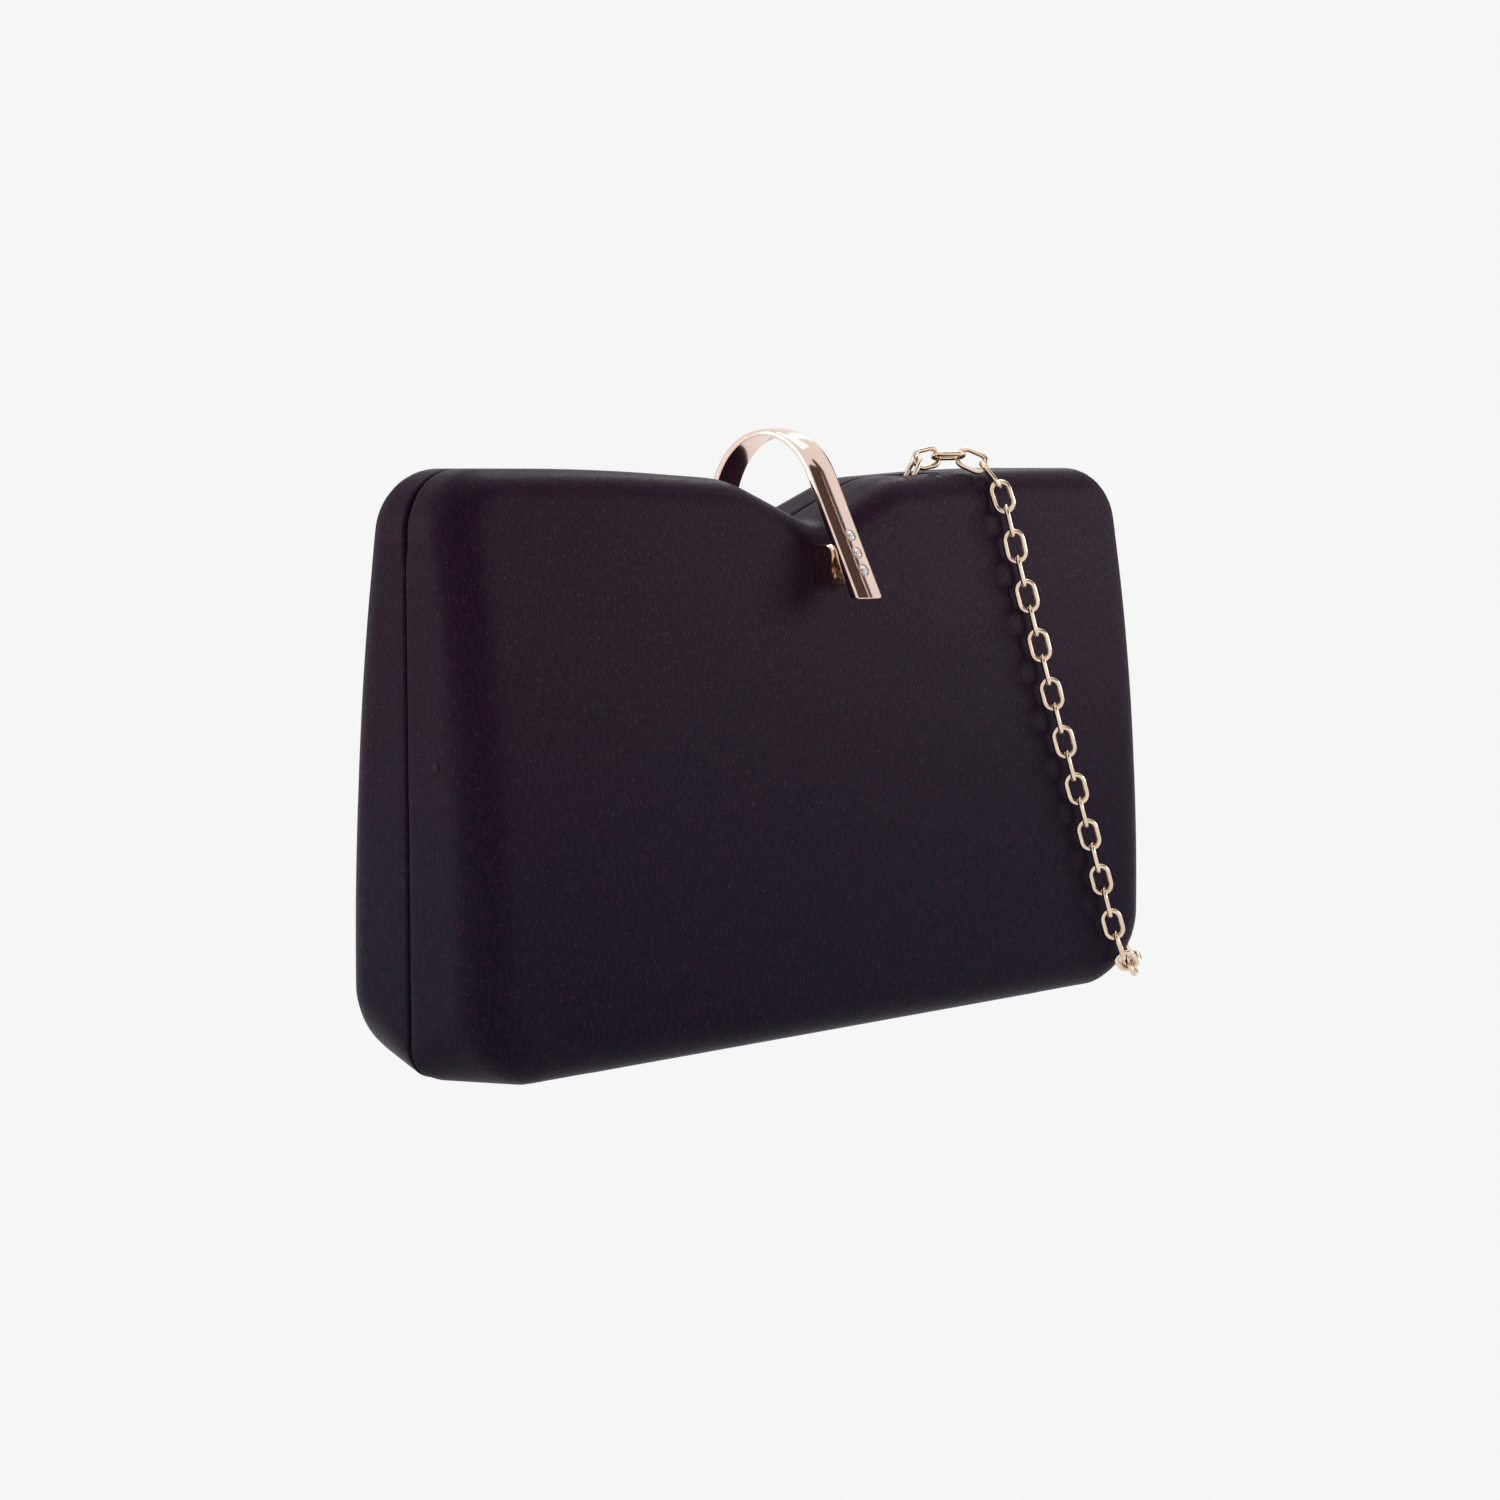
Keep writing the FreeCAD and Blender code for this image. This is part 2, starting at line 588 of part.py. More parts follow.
def catch_spring():
    """Two spring strips that grip the lug, on a foot held under the rivet heads."""
    inner = LUG_HALF_WIDTH + SPRING_CLEARANCE
    foot_y = -catch_seat()
    upright = (-SPRING_HEIGHT / 2, SPRING_HEIGHT / 2)
    foot_half = CATCH_HALF_WIDTH - CATCH_WALL - SPRING_SIDE
    foot = box((-foot_half, foot_half), (foot_y - SPRING_THICKNESS, foot_y), upright)
    strips = [box((low, low + SPRING_THICKNESS), (foot_y - SPRING_LENGTH, foot_y), upright)
              for low in (-inner - SPRING_THICKNESS, inner)]
    spring = on_face(foot.multiFuse(strips).removeSplitter(), catch_rivet_z())
    return spring.cut(Part.makeCompound(catch_rivet_holes()))


def catch_seat():
    """How far outside the face the spring's foot lies."""
    return SEAT_GAP + CATCH_WALL + RUNNING_FIT


def catch_rivets():
    inside = -(INSIDE + BACKING_THICKNESS + RIVET_TAIL)
    outside = catch_seat() + SPRING_THICKNESS + RUNNING_FIT
    z = catch_rivet_z()
    return Part.makeCompound([
        rivet(CATCH_RIVET_RADIUS, CATCH_RIVET_HEAD, CATCH_RIVET_HEIGHT,
              face_place(side * CATCH_RIVET_X, z, inside), face_place(side * CATCH_RIVET_X, z, outside))
        for side in (-1, 1)])


def backing_plate(x_half, z_range, holes):
    """A plate inside a half, lying on the lining behind outside trim."""
    slab = half_body(INSIDE, NUDGE).cut(half_body(INSIDE + BACKING_THICKNESS, 2 * NUDGE))
    block = box((-x_half, x_half), (-HALF_DEPTH, -RIM_DEPTH - KNUCKLE_GAP), z_range)
    return slab.common(block).cut(Part.makeCompound(holes))


# ---------------------------------------------------------------- lever
def arch_point(radius, lean):
    """A point of the arch where its tangent leans forward by lean degrees from upright."""
    turn = math.radians(lean)
    return ARCH_CENTRE_Y - radius * math.cos(turn), ARCH_CENTRE_Z + radius * math.sin(turn)


def arch_top(radius):
    return ARCH_CENTRE_Y, ARCH_CENTRE_Z + radius


def arch_foot(radius):
    """Where the arch meets the pivot, on a circle of the given radius."""
    turn = math.asin((PIVOT_Z - ARCH_CENTRE_Z) / ARCH_MID_RADIUS)
    return ARCH_CENTRE_Y + radius * math.cos(turn), ARCH_CENTRE_Z + radius * math.sin(turn)


def leg_y(start, lean):
    """Where a leg's line reaches the tip's height."""
    return start[0] - (start[1] - LEG_TIP_Z) * math.tan(math.radians(lean))


def arch_side():
    """The lever seen from its side: a flat band that thickens into the front leg."""
    inner_leg = arch_point(ARCH_INNER_RADIUS, LEG_LEAN_INNER)
    outer_leg = arch_point(ARCH_OUTER_RADIUS, LEG_LEAN_OUTER)
    inner_tip = (leg_y(inner_leg, LEG_LEAN_INNER), LEG_TIP_Z)
    outer_tip = (leg_y(outer_leg, LEG_LEAN_OUTER), LEG_TIP_Z)
    edges = [
        Part.Arc(in_yz(*arch_foot(ARCH_INNER_RADIUS)), in_yz(*arch_top(ARCH_INNER_RADIUS)),
                 in_yz(*inner_leg)).toShape(),
        Part.LineSegment(in_yz(*inner_leg), in_yz(*inner_tip)).toShape(),
        Part.LineSegment(in_yz(*inner_tip), in_yz(*outer_tip)).toShape(),
        Part.LineSegment(in_yz(*outer_tip), in_yz(*outer_leg)).toShape(),
        Part.Arc(in_yz(*outer_leg), in_yz(*arch_top(ARCH_OUTER_RADIUS)),
                 in_yz(*arch_foot(ARCH_OUTER_RADIUS))).toShape(),
        Part.LineSegment(in_yz(*arch_foot(ARCH_OUTER_RADIUS)),
                         in_yz(*arch_foot(ARCH_INNER_RADIUS))).toShape(),
    ]
    return Part.Face(Part.Wire(edges))


def arch_half_width(height):
    rise = ARCH_CENTRE_Z + ARCH_OUTER_RADIUS - LEG_TIP_Z
    return (ARCH_WIDTH_TIP + (ARCH_WIDTH_TOP - ARCH_WIDTH_TIP) * (height - LEG_TIP_Z) / rise) / 2


def arch_lever():
    side = arch_side()
    side.translate(vec(-ARCH_WIDTH_TIP, 0, 0))
    band = side.extrude(vec(2 * ARCH_WIDTH_TIP, 0, 0))
    low, high = LEG_TIP_Z - NUDGE, ARCH_CENTRE_Z + ARCH_OUTER_RADIUS + NUDGE
    wide, narrow = arch_half_width(low), arch_half_width(high)
    taper = Part.Face(Part.makePolygon([in_xz(-wide, low), in_xz(wide, low), in_xz(narrow, high),
                                        in_xz(-narrow, high), in_xz(-wide, low)]))
    taper.translate(vec(0, -FAR / 2, 0))
    band = band.common(taper.extrude(vec(0, FAR, 0))).Solids[0]
    eye = bar_along_x(EYE_RADIUS, pivot_half_width(), PIVOT_Y, PIVOT_Z)
    lever = crowned(band).fuse(eye).removeSplitter()
    bore = bar_along_x(PIVOT_PIN_RADIUS + RUNNING_FIT, ARCH_WIDTH_TIP, PIVOT_Y, PIVOT_Z)
    pockets = [stone_pocket(i) for i in range(STONES)]
    return lever.cut(bore).cut(Part.makeCompound(pockets))


def crowned(band):
    """Round the outer edges of the band, more towards the tip."""
    crest, out = leg_frame(0.0)
    edges = []
    for edge in band.Edges:
        middle = edge.valueAt((edge.FirstParameter + edge.LastParameter) / 2)
        reach = math.hypot(middle.y - ARCH_CENTRE_Y, middle.z - ARCH_CENTRE_Z)
        on_arch = abs(reach - ARCH_OUTER_RADIUS) < 0.05
        on_leg = abs((middle - crest).dot(out)) < 0.05
        lengthwise = abs(edge.tangentAt(edge.FirstParameter).x) < 0.5
        if lengthwise and (on_arch or on_leg) and edge.Length > ARCH_THICKNESS * 2:
            edges.append(edge)
    return band.makeFillet(CROWN_ROUND_TIP, CROWN_ROUND_FOOT, edges)


def pivot_half_width():
    return arch_half_width(PIVOT_Z)


def leg_frame(along):
    """A point on the leg's crest at a distance from the tip, and the outward direction there."""
    lean = math.radians(LEG_LEAN_OUTER)
    start = arch_point(ARCH_OUTER_RADIUS, LEG_LEAN_OUTER)
    tip_y = leg_y(start, LEG_LEAN_OUTER)
    point = vec(0, tip_y + along * math.sin(lean), LEG_TIP_Z + along * math.cos(lean))
    return point, vec(0, -math.cos(lean), math.sin(lean))


def stone_place(index):
    return leg_frame(FIRST_STONE_FROM_TIP + index * STONE_PITCH)


def stone_pocket(index):
    point, out = stone_place(index)
    return rod(COLLET_RADIUS + RUNNING_FIT, point - out * (COLLET_DEPTH + RUNNING_FIT),
               point + out * 2 * COLLET_DEPTH)


def collet(index):
    """A cup that holds one stone by its girdle."""
    point, out = stone_place(index)
    cup = rod(COLLET_RADIUS, point - out * COLLET_DEPTH, point + out * COLLET_PROUD)
    seat = rod(STONE_RADIUS + RUNNING_FIT, point - out * (COLLET_DEPTH - COLLET_FLOOR),
               point + out * 2 * COLLET_DEPTH)
    return cup.cut(seat)


def stone(index):
    """A round cut stone: a table, a sloping crown, a girdle and a pointed pavilion."""
    point, out = stone_place(index)
    low = STONE_SINK - STONE_GIRDLE_HEIGHT
    top = STONE_SINK + STONE_CROWN_HEIGHT
    profile = [(0.0, STONE_SINK - STONE_PAVILION_DEPTH), (STONE_RADIUS, low), (STONE_RADIUS, STONE_SINK),
               (STONE_TABLE_SHARE * STONE_RADIUS, top), (0.0, top)]
    wire = Part.makePolygon([in_xz(a, b) for a, b in profile + profile[:1]])
    gem = Part.Face(wire).revolve(ORIGIN, Z_AXIS, 360)
    gem.rotate(ORIGIN, X_AXIS, math.degrees(math.acos(out.z)))
    gem.translate(point)
    return gem


def lug_frame():
    """Where the lug leaves the leg's inner side, and the direction it points in."""
    lean = math.radians(LEG_LEAN_INNER)
    start = arch_point(ARCH_INNER_RADIUS, LEG_LEAN_INNER)
    point = vec(0, start[0] - (start[1] - LUG_Z) * math.tan(lean), LUG_Z)
    return point, vec(0, math.cos(lean), -math.sin(lean))


def arch_lug():
    """The block on the leg that the catch's springs grip."""
    block = box((-LUG_HALF_WIDTH, LUG_HALF_WIDTH), (0, LUG_REACH), (-LUG_HEIGHT / 2, LUG_HEIGHT / 2))
    block = block.makeFillet(LUG_ROUND, [e for e in block.Edges if abs(e.tangentAt(0).x) > 0.9
                                         and e.CenterOfMass.y > LUG_REACH / 2])
    point, way = lug_frame()
    block.rotate(ORIGIN, X_AXIS, -LEG_LEAN_INNER)
    block.translate(point)
    return block


# ---------------------------------------------------------------- pivot bracket on the back
def pivot_bracket():
    """A plate on the back face with two ears, built in the front half's place."""
    grown = half_body(-SEAT_GAP, NUDGE)
    plate = half_body(-SEAT_GAP - BRACKET_THICKNESS).common(
        box((-BRACKET_HALF_WIDTH, BRACKET_HALF_WIDTH), (-FAR, TRIM_BACK_Y), BRACKET_Z))
    inner = pivot_half_width() + PIVOT_SIDE_GAP
    foot_z = BRACKET_Z[0] + EAR_FOOT_RISE
    foot_y = face_y(BRACKET_Z[1]) - EAR_FOOT_REACH
    outline = [(-PIVOT_Y - EAR_SPREAD, PIVOT_Z), (foot_y, foot_z), (-EAR_FOOT_DEPTH, foot_z),
               (-PIVOT_Y + EAR_SPREAD, PIVOT_Z)]
    ears = []
    for x0 in (-inner - EAR_THICKNESS, inner):
        profile = Part.makePolygon([in_yz(*corner) for corner in outline + outline[:1]])
        web = Part.Face(profile).extrude(vec(EAR_THICKNESS, 0, 0))
        web.translate(vec(x0, 0, 0))
        disc = Part.makeCylinder(EAR_RADIUS, EAR_THICKNESS, vec(x0, -PIVOT_Y, PIVOT_Z), X_AXIS)
        ears.append(web.fuse(disc))
    bracket = plate.multiFuse(ears).cut(grown).removeSplitter()
    bore = bar_along_x(PIVOT_PIN_RADIUS + RUNNING_FIT, 2 * BRACKET_HALF_WIDTH, -PIVOT_Y, PIVOT_Z)
    return bracket.cut(bore).cut(Part.makeCompound(bracket_screw_holes()))


def pivot_pin():
    near = pivot_half_width() + PIVOT_SIDE_GAP + EAR_THICKNESS + PIVOT_HEAD_GAP
    pin = bar_along_x(PIVOT_PIN_RADIUS, near + PIVOT_PIN_HEAD / 2, PIVOT_Y, PIVOT_Z)
    heads = [Part.makeCylinder(PIVOT_PIN_RADIUS + PIVOT_PIN_HEAD, PIVOT_PIN_HEAD,
                               vec(x, PIVOT_Y, PIVOT_Z), X_AXIS)
             for x in (-near - PIVOT_PIN_HEAD, near)]
    return pin.multiFuse(heads)


def bracket_screws():
    """Screws from the back face into the plate inside, built in the front half's place."""
    z = bracket_screw_z()
    inside = -(INSIDE + BACKING_THICKNESS + RIVET_TAIL)
    outside = SEAT_GAP + BRACKET_THICKNESS + RUNNING_FIT
    pieces = []
    for side in (-1, 1):
        x = side * BRACKET_SCREW_X
        screw = rivet(SCREW_RADIUS, SCREW_HEAD_RADIUS, SCREW_HEAD_HEIGHT, face_place(x, z, inside),
                      face_place(x, z, outside))
        slot = box((x - SCREW_SLOT_HALF, x + SCREW_SLOT_HALF),
                   (-outside - 2 * SCREW_HEAD_HEIGHT, -outside - SCREW_HEAD_HEIGHT + SCREW_SLOT_DEPTH),
                   (-SCREW_SLOT_WIDTH / 2, SCREW_SLOT_WIDTH / 2))
        pieces.append(screw.cut(on_face(slot, z)))
    return Part.makeCompound(pieces)


# ---------------------------------------------------------------- chain and what holds it
def anchor_x(side):
    return side * (HALF_WIDTH - INSIDE)


def chain_anchor(side):
    """A plate on the end wall inside, with an upright eye for the chain's clip."""
    wall = anchor_x(side)
    face = wall - side * ANCHOR_PLATE_THICKNESS
    plate = box((min(wall, face), max(wall, face)),
                (ANCHOR_Y - ANCHOR_PLATE / 2, ANCHOR_Y + ANCHOR_PLATE / 2),
                (ANCHOR_Z - ANCHOR_PLATE / 2, ANCHOR_Z + ANCHOR_PLATE / 2))
    centre = vec(face - side * ANCHOR_EYE_OUT, ANCHOR_Y, ANCHOR_Z)
    eye = Part.makeTorus(ANCHOR_EYE_RADIUS, ANCHOR_EYE_WIRE, centre, Y_AXIS)
    beyond = box((min(face, side * FAR), max(face, side * FAR)), (-FAR, FAR), (-FAR, FAR))
    return plate.fuse(eye.cut(beyond)).removeSplitter().cut(Part.makeCompound(anchor_rivet_holes()))


def anchor_rivets():
    pieces = []
    for side in (-1, 1):
        inner = anchor_x(side) - side * ANCHOR_PLATE_THICKNESS
        outer = side * HALF_WIDTH
        pieces.append(rivet(ANCHOR_RIVET_RADIUS, ANCHOR_RIVET_HEAD, ANCHOR_RIVET_PROUD,
                            vec(inner, ANCHOR_Y, ANCHOR_Z), vec(outer, ANCHOR_Y, ANCHOR_Z)))
    return Part.makeCompound(pieces)


def chain_clip(side):
    """A ring through the anchor's eye, at the end of the chain."""
    tilt = math.radians(CLIP_TILT[side])
    way = vec(-side * math.cos(tilt), 0, math.sin(tilt))
    eye_centre = vec(anchor_x(side) - side * (ANCHOR_PLATE_THICKNESS + ANCHOR_EYE_OUT), ANCHOR_Y, ANCHOR_Z)
    hooked = CLIP_RADIUS - ANCHOR_EYE_WIRE - CLIP_WIRE - 2 * RUNNING_FIT
    centre = eye_centre + way * (ANCHOR_EYE_RADIUS + hooked)
    return Part.makeTorus(CLIP_RADIUS, CLIP_WIRE, centre, way.cross(Y_AXIS))


def route_path(points):
    """Straight runs joined by tangent arcs, the radius of each arc, and the way it sets out."""
    stretch = [now / then for now, then in zip((CASE_WIDTH, HALF_DEPTH, CASE_HEIGHT), ROUTE_CASE)]
    knots = [vec(*(part * share for part, share in zip(point, stretch))) for point in points]
    edges = []
    radii = []
    last = knots[0]
    for before, here, after in zip(knots, knots[1:], knots[2:]):
        come = (here - before)
        go = (after - here)
        back = ROUTE_SHARE * min(come.Length, go.Length)
        come.normalize()
        go.normalize()
        half_turn = come.getAngle(go) / 2
        radius = back / math.tan(half_turn)
        inward = (go - come).normalize()
        start = here - come * back
        end = here + go * back
        middle = here + inward * (radius / math.cos(half_turn) - radius)
        edges.append(Part.LineSegment(last, start).toShape())
        edges.append(Part.Arc(start, middle, end).toShape())
        radii.append(radius)
        last = end
    edges.append(Part.LineSegment(last, knots[-1]).toShape())
    return Part.Wire(edges), radii, knots[1] - knots[0]


def chain_tube(name, points):
    """The room that a stretch of the chain takes, as one round solid along its route."""
    path, radii, way = route_path(points)
    start = path.Edges[0].valueAt(path.Edges[0].FirstParameter)
    ring = Part.Wire(Part.makeCircle(CHAIN_WIDTH / 2, start, way))
    tube = path.makePipeShell([ring], True, False)
    expected = math.pi * (CHAIN_WIDTH / 2) ** 2 * path.Length
    print("%s length %.1f, volume ratio %.5f" % (name, path.Length, tube.Volume / expected))
    print("  arc radii " + " ".join("%.0f" % radius for radius in radii))
    return tube


def chain_hank():
    """The outer shape of the chain's turns, wound lengthwise on the floor of the front half."""
    reach = HANK_TURN_RADIUS + CHAIN_WIDTH / 2
    low = HANK_FLOOR - CHAIN_WIDTH / 2
    height = CHAIN_WIDTH + (HANK_TURNS - 1) * HANK_PITCH
    half = HANK_STRAIGHT / 2
    ends = [Part.makeCylinder(reach, height, vec(x, HANK_Y, low)) for x in (-half, half)]
    middle = box((-half, half), (HANK_Y - reach, HANK_Y + reach), (low, low + height))
    hank = middle.multiFuse(ends).removeSplitter()
    level = [e for e in hank.Edges if abs(e.tangentAt(e.FirstParameter).z) < 0.5]
    return hank.makeFillet(HANK_ROUND, level)


# ---------------------------------------------------------------- assembly
def build_nodes():
    front_cuts = [top_slot(), side_slot(), side_gap()] + catch_rivet_holes() + anchor_rivet_holes()
    nodes = half_nodes("front", front_cuts, hinge_rivet_holes())
    rear = half_nodes("rear", bracket_screw_holes(), hinge_rivet_holes())
    rear["pivot_bracket"] = pivot_bracket()
    rear["bracket_screws"] = bracket_screws()
    rear["bracket_backing_plate"] = backing_plate(BRACKET_HALF_WIDTH, BRACKET_Z, bracket_screw_holes())
    rear["hinge_leaf_rear"] = hinge_leaf(0)
    rear["hinge_rivets_rear"] = hinge_rivets()
    for name, shape in rear.items():
        nodes[name] = mirrored(shape)
    nodes["hinge_leaf_front"] = hinge_leaf(1)
    nodes["hinge_rivets_front"] = hinge_rivets()
    nodes["hinge_pin"] = hinge_pin()
    nodes["catch_housing"] = catch_housing()
    nodes["catch_spring"] = catch_spring()
    nodes["catch_rivets"] = catch_rivets()
    nodes["catch_backing_plate"] = backing_plate(CATCH_HALF_WIDTH, CATCH_Z, catch_rivet_holes())
    nodes["arch_lever"] = arch_lever()
    nodes["arch_lug"] = arch_lug()
    nodes["stone_settings"] = Part.makeCompound([collet(i) for i in range(STONES)])
    nodes["stones"] = Part.makeCompound([stone(i) for i in range(STONES)])
    nodes["pivot_pin"] = pivot_pin()
    nodes["chain_anchor_left"] = chain_anchor(-1)
    nodes["chain_anchor_right"] = chain_anchor(1)
    nodes["anchor_rivets"] = anchor_rivets()
    nodes["chain_clip_left"] = chain_clip(-1)
    nodes["chain_clip_right"] = chain_clip(1)
    nodes["chain_strap"] = chain_tube("strap", CHAIN_ROUTE)
    nodes["chain_hank"] = chain_hank()
    nodes["chain_tail"] = chain_tube("tail", TAIL_ROUTE)
    return nodes


CORD_NODES = ("chain_strap", "chain_hank", "chain_tail", "chain_clip_left", "chain_clip_right")


def seam_shift(nodes):
    """How far the seam plane lies behind the middle of the purse's depth."""
    solid = [shape.optimalBoundingBox(False) for name, shape in nodes.items() if name not in CORD_NODES]
    return -(min(b.YMin for b in solid) + max(b.YMax for b in solid)) / 2


def main():
    os.makedirs("parts", exist_ok=True)
    nodes = build_nodes()
    shift = seam_shift(nodes)
    print("seam plane at y = %.4f, hinge axis z = %.3f, pivot y = %.4f" % (shift, HINGE_Z, PIVOT_Y + shift))
    for name, shape in nodes.items():
        shape.translate(vec(0, shift, 0))
        shape.exportStep("parts/%s.step" % name)


main()
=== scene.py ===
import bisect
import json
import math

import bmesh
import bpy
from mathutils import Matrix, Vector


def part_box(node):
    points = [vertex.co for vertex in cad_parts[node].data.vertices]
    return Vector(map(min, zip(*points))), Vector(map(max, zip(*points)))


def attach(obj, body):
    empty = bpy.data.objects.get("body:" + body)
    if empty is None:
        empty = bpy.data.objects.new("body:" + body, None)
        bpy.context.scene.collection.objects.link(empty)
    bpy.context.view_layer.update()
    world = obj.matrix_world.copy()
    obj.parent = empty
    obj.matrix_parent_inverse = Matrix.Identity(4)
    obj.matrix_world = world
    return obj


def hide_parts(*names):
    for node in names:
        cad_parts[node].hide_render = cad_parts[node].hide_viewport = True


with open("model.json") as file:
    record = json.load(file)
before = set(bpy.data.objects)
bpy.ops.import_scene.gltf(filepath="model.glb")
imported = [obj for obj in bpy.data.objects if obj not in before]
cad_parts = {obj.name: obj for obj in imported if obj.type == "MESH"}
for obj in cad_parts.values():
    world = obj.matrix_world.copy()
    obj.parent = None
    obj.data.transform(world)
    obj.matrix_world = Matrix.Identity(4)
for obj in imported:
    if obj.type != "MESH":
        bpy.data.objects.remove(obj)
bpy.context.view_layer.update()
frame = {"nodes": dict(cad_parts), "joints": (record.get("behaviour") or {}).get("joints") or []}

bl_info = {
    "name": "Evening Purse Dresser",
    "version": (1, 0, 0),
    "blender": (4, 5, 0),
    "location": "3D View > Sidebar > Purse",
    "description": "Dresses a hard-case evening purse in satin, rose gold, stones and chain",
    "category": "Object",
}

MM = 0.001

# ---- taken from the frame
CASE_LOW, CASE_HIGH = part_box("front_cover")
HALF_WIDTH = CASE_HIGH.x
CASE_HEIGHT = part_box("rear_cover")[1].z
JOINT_SPOTS = {joint["name"]: joint["pos_m"] for joint in frame["joints"]}
SEAM_Y, HINGE_Z = JOINT_SPOTS["lid_hinge"][1:]
LEVER_PIVOT = JOINT_SPOTS["lever_pivot"]
HALF_DEPTH = SEAM_Y - CASE_LOW.y

# ---- the case's own shape
HALF_DEPTH_TOP = 13.0 * MM
WIDEST_HEIGHT = 18.6 * MM
EDGE_RADIUS = 8.4 * MM
CORNER_RADIUS_SEAM = 7.6 * MM
CORNER_RADIUS_FACE = 18.0 * MM
CORNER_RADIUS_TOP = 13.4 * MM
CROWN_X = 0.587 * HALF_WIDTH
CROWN_RADIUS = 600.0 * MM
SHOULDER_X = 24.0 * MM
SHOULDER_DROP = 2.3 * MM
SHOULDER_RADIUS = 30.0 * MM
NOTCH_DROP = 12.55 * MM
NOTCH_RADIUS = 9.0 * MM
SEAM_HALF = 0.2 * MM
LINING_INSET = 3.7 * MM
FACE_START = HALF_DEPTH - EDGE_RADIUS      # depth where the rounding into the face starts
FACE_RADIUS = (((CASE_HEIGHT - WIDEST_HEIGHT) ** 2 + (HALF_DEPTH - HALF_DEPTH_TOP) ** 2)
               / (2 * (HALF_DEPTH - HALF_DEPTH_TOP)))
TOP_SLOT_X = (32.5 * MM, 44.5 * MM)
SIDE_SLOT_Z = (CASE_HEIGHT - 18.0 * MM, CASE_HEIGHT - 5.0 * MM)
SLOT_DEPTH = 6.7 * MM
SIDE_GAP_DEPTH = 0.8 * MM
HINGE_CHANNEL_HALF = 2.6 * MM
HINGE_CHANNEL_REACH = HALF_WIDTH - 26.1 * MM
HINGE_BEVEL_DEPTH = 1.5 * MM
SLOT_BLUR = 1.6 * MM                       # over which the rim dips into a slot
SATIN_FLANGE = 2.2 * MM                    # width of the satin turned in over the rim
LINING_TURN = 0.35 * MM
LINING_FLANGE = 0.25 * MM
# How finely the skins of both halves are meshed.
FLANGE_STEPS = 3
TURN_STEPS = 5
EDGE_STEPS = 16
SIDE_STEPS = 12
FACE_RINGS = 18

# ---- the chain's route
# Millimetres from the seam plane: from the ring at the right anchor, out through the side
# slot, round the bottom corner, up the front, over the top and down inside to the hank.
CHAIN_ROUTE = [
    (94.3, -10.1, 74.9), (93.1, -8.6, 84.3), (95.7, -5.6, 98.4), (97.1, -4.2, 110.2),
    (100.9, -3.8, 114.0), (106.3, -3.8, 114.0), (110.0, -4.0, 110.2), (109.2, -4.8, 98.6),
    (109.1, -5.8, 66.0), (109.3, -7.2, 34.0), (109.1, -10.4, 16.4), (107.6, -14.6, 7.2),
    (102.2, -22.3, 3.8), (94.6, -27.1, 4.6), (89.0, -27.7, 11.6), (84.8, -27.2, 23.6),
    (78.3, -27.0, 40.0), (72.7, -26.1, 56.0), (67.7, -24.6, 72.6), (63.3, -22.5, 90.0),
    (60.0, -19.9, 106.0), (58.2, -18.3, 117.0), (57.0, -15.8, 125.4), (55.0, -9.2, 130.7),
    (49.4, -4.4, 130.5), (41.6, -3.6, 130.1), (38.4, -3.5, 124.0), (38.4, -3.6, 108.0),
    (39.2, -4.1, 74.0), (40.6, -4.4, 45.0), (38.6, -4.8, 30.0), (31.6, -5.1, 21.7),
    (22.0, -5.1, 19.9),
]
ON_THE_FACE = 17            # a point where the chain lies flat on the front
# From the hank's lowest turn along the floor and up to the ring at the left anchor.
TAIL_ROUTE = [
    (-69.0, -5.1, 8.6), (-81.0, -5.8, 11.6), (-89.6, -7.7, 20.4), (-93.4, -9.4, 34.0),
    (-93.9, -10.1, 47.0), (-94.5, -10.1, 59.3),
]

# ---- the lever's own shape
# Each arc of the arch: its centre from the seam plane and below the top, its radius, and
# the leg's lean from upright in degrees.
ARCH_OUTER = (0.75 * MM, 9.60 * MM, 18.72 * MM, 28.8)
ARCH_INNER = (0.83 * MM, 8.88 * MM, 16.14 * MM, 27.7)
ARCH_STEPS = 48
LEG_STEPS = 16
FOOT_TURN = 0.6             # radians of the arch over which its foot bends out to the pivot
LEVER_WIDTH_FOOT = 7.4 * MM
LEVER_WIDTH_TOP = 8.0 * MM
LEVER_WIDTH_TIP = 8.1 * MM
LEVER_EDGE = 0.25 * MM      # bevel along the edges and round the tip
LEVER_EYE = 2.3 * MM
LEVER_EYE_WIDTH = 8.0 * MM
EYE_SEGMENTS = 48
CROWN_SHARE_FOOT = 0.34     # of the thickness that lies in the crown
CROWN_SHARE_RISE = 0.18     # what the crown gains towards the leg
CROWN_STEPS = 18
STONE_PITCH = 4.3 * MM
MIDDLE_STONE = 20.7 * MM    # from the top of the straight leg
STONE_FACETS = 8
COLLET_STEPS = 48
PRONGS = 4
PRONG_SHARPNESS = 6
# Each as a share of the stone's radius: reach from its middle, and rise along its axis.
COLLET_PROFILE = ((1.20, -0.30), (1.24, 0.04), (1.20, 0.12), (1.12, 0.14), (1.06, 0.10),
                  (1.02, -0.02))
TABLE_RING = (0.56, 0.36)
CROWN_RING = (0.80, 0.22)
GIRDLE_RING = (1.0, 0.04)
UNDER_RING = (1.0, -0.04)
PAVILION_DEPTH = 0.50
PRONG_REACH = 0.16
PRONG_RISE = 0.12

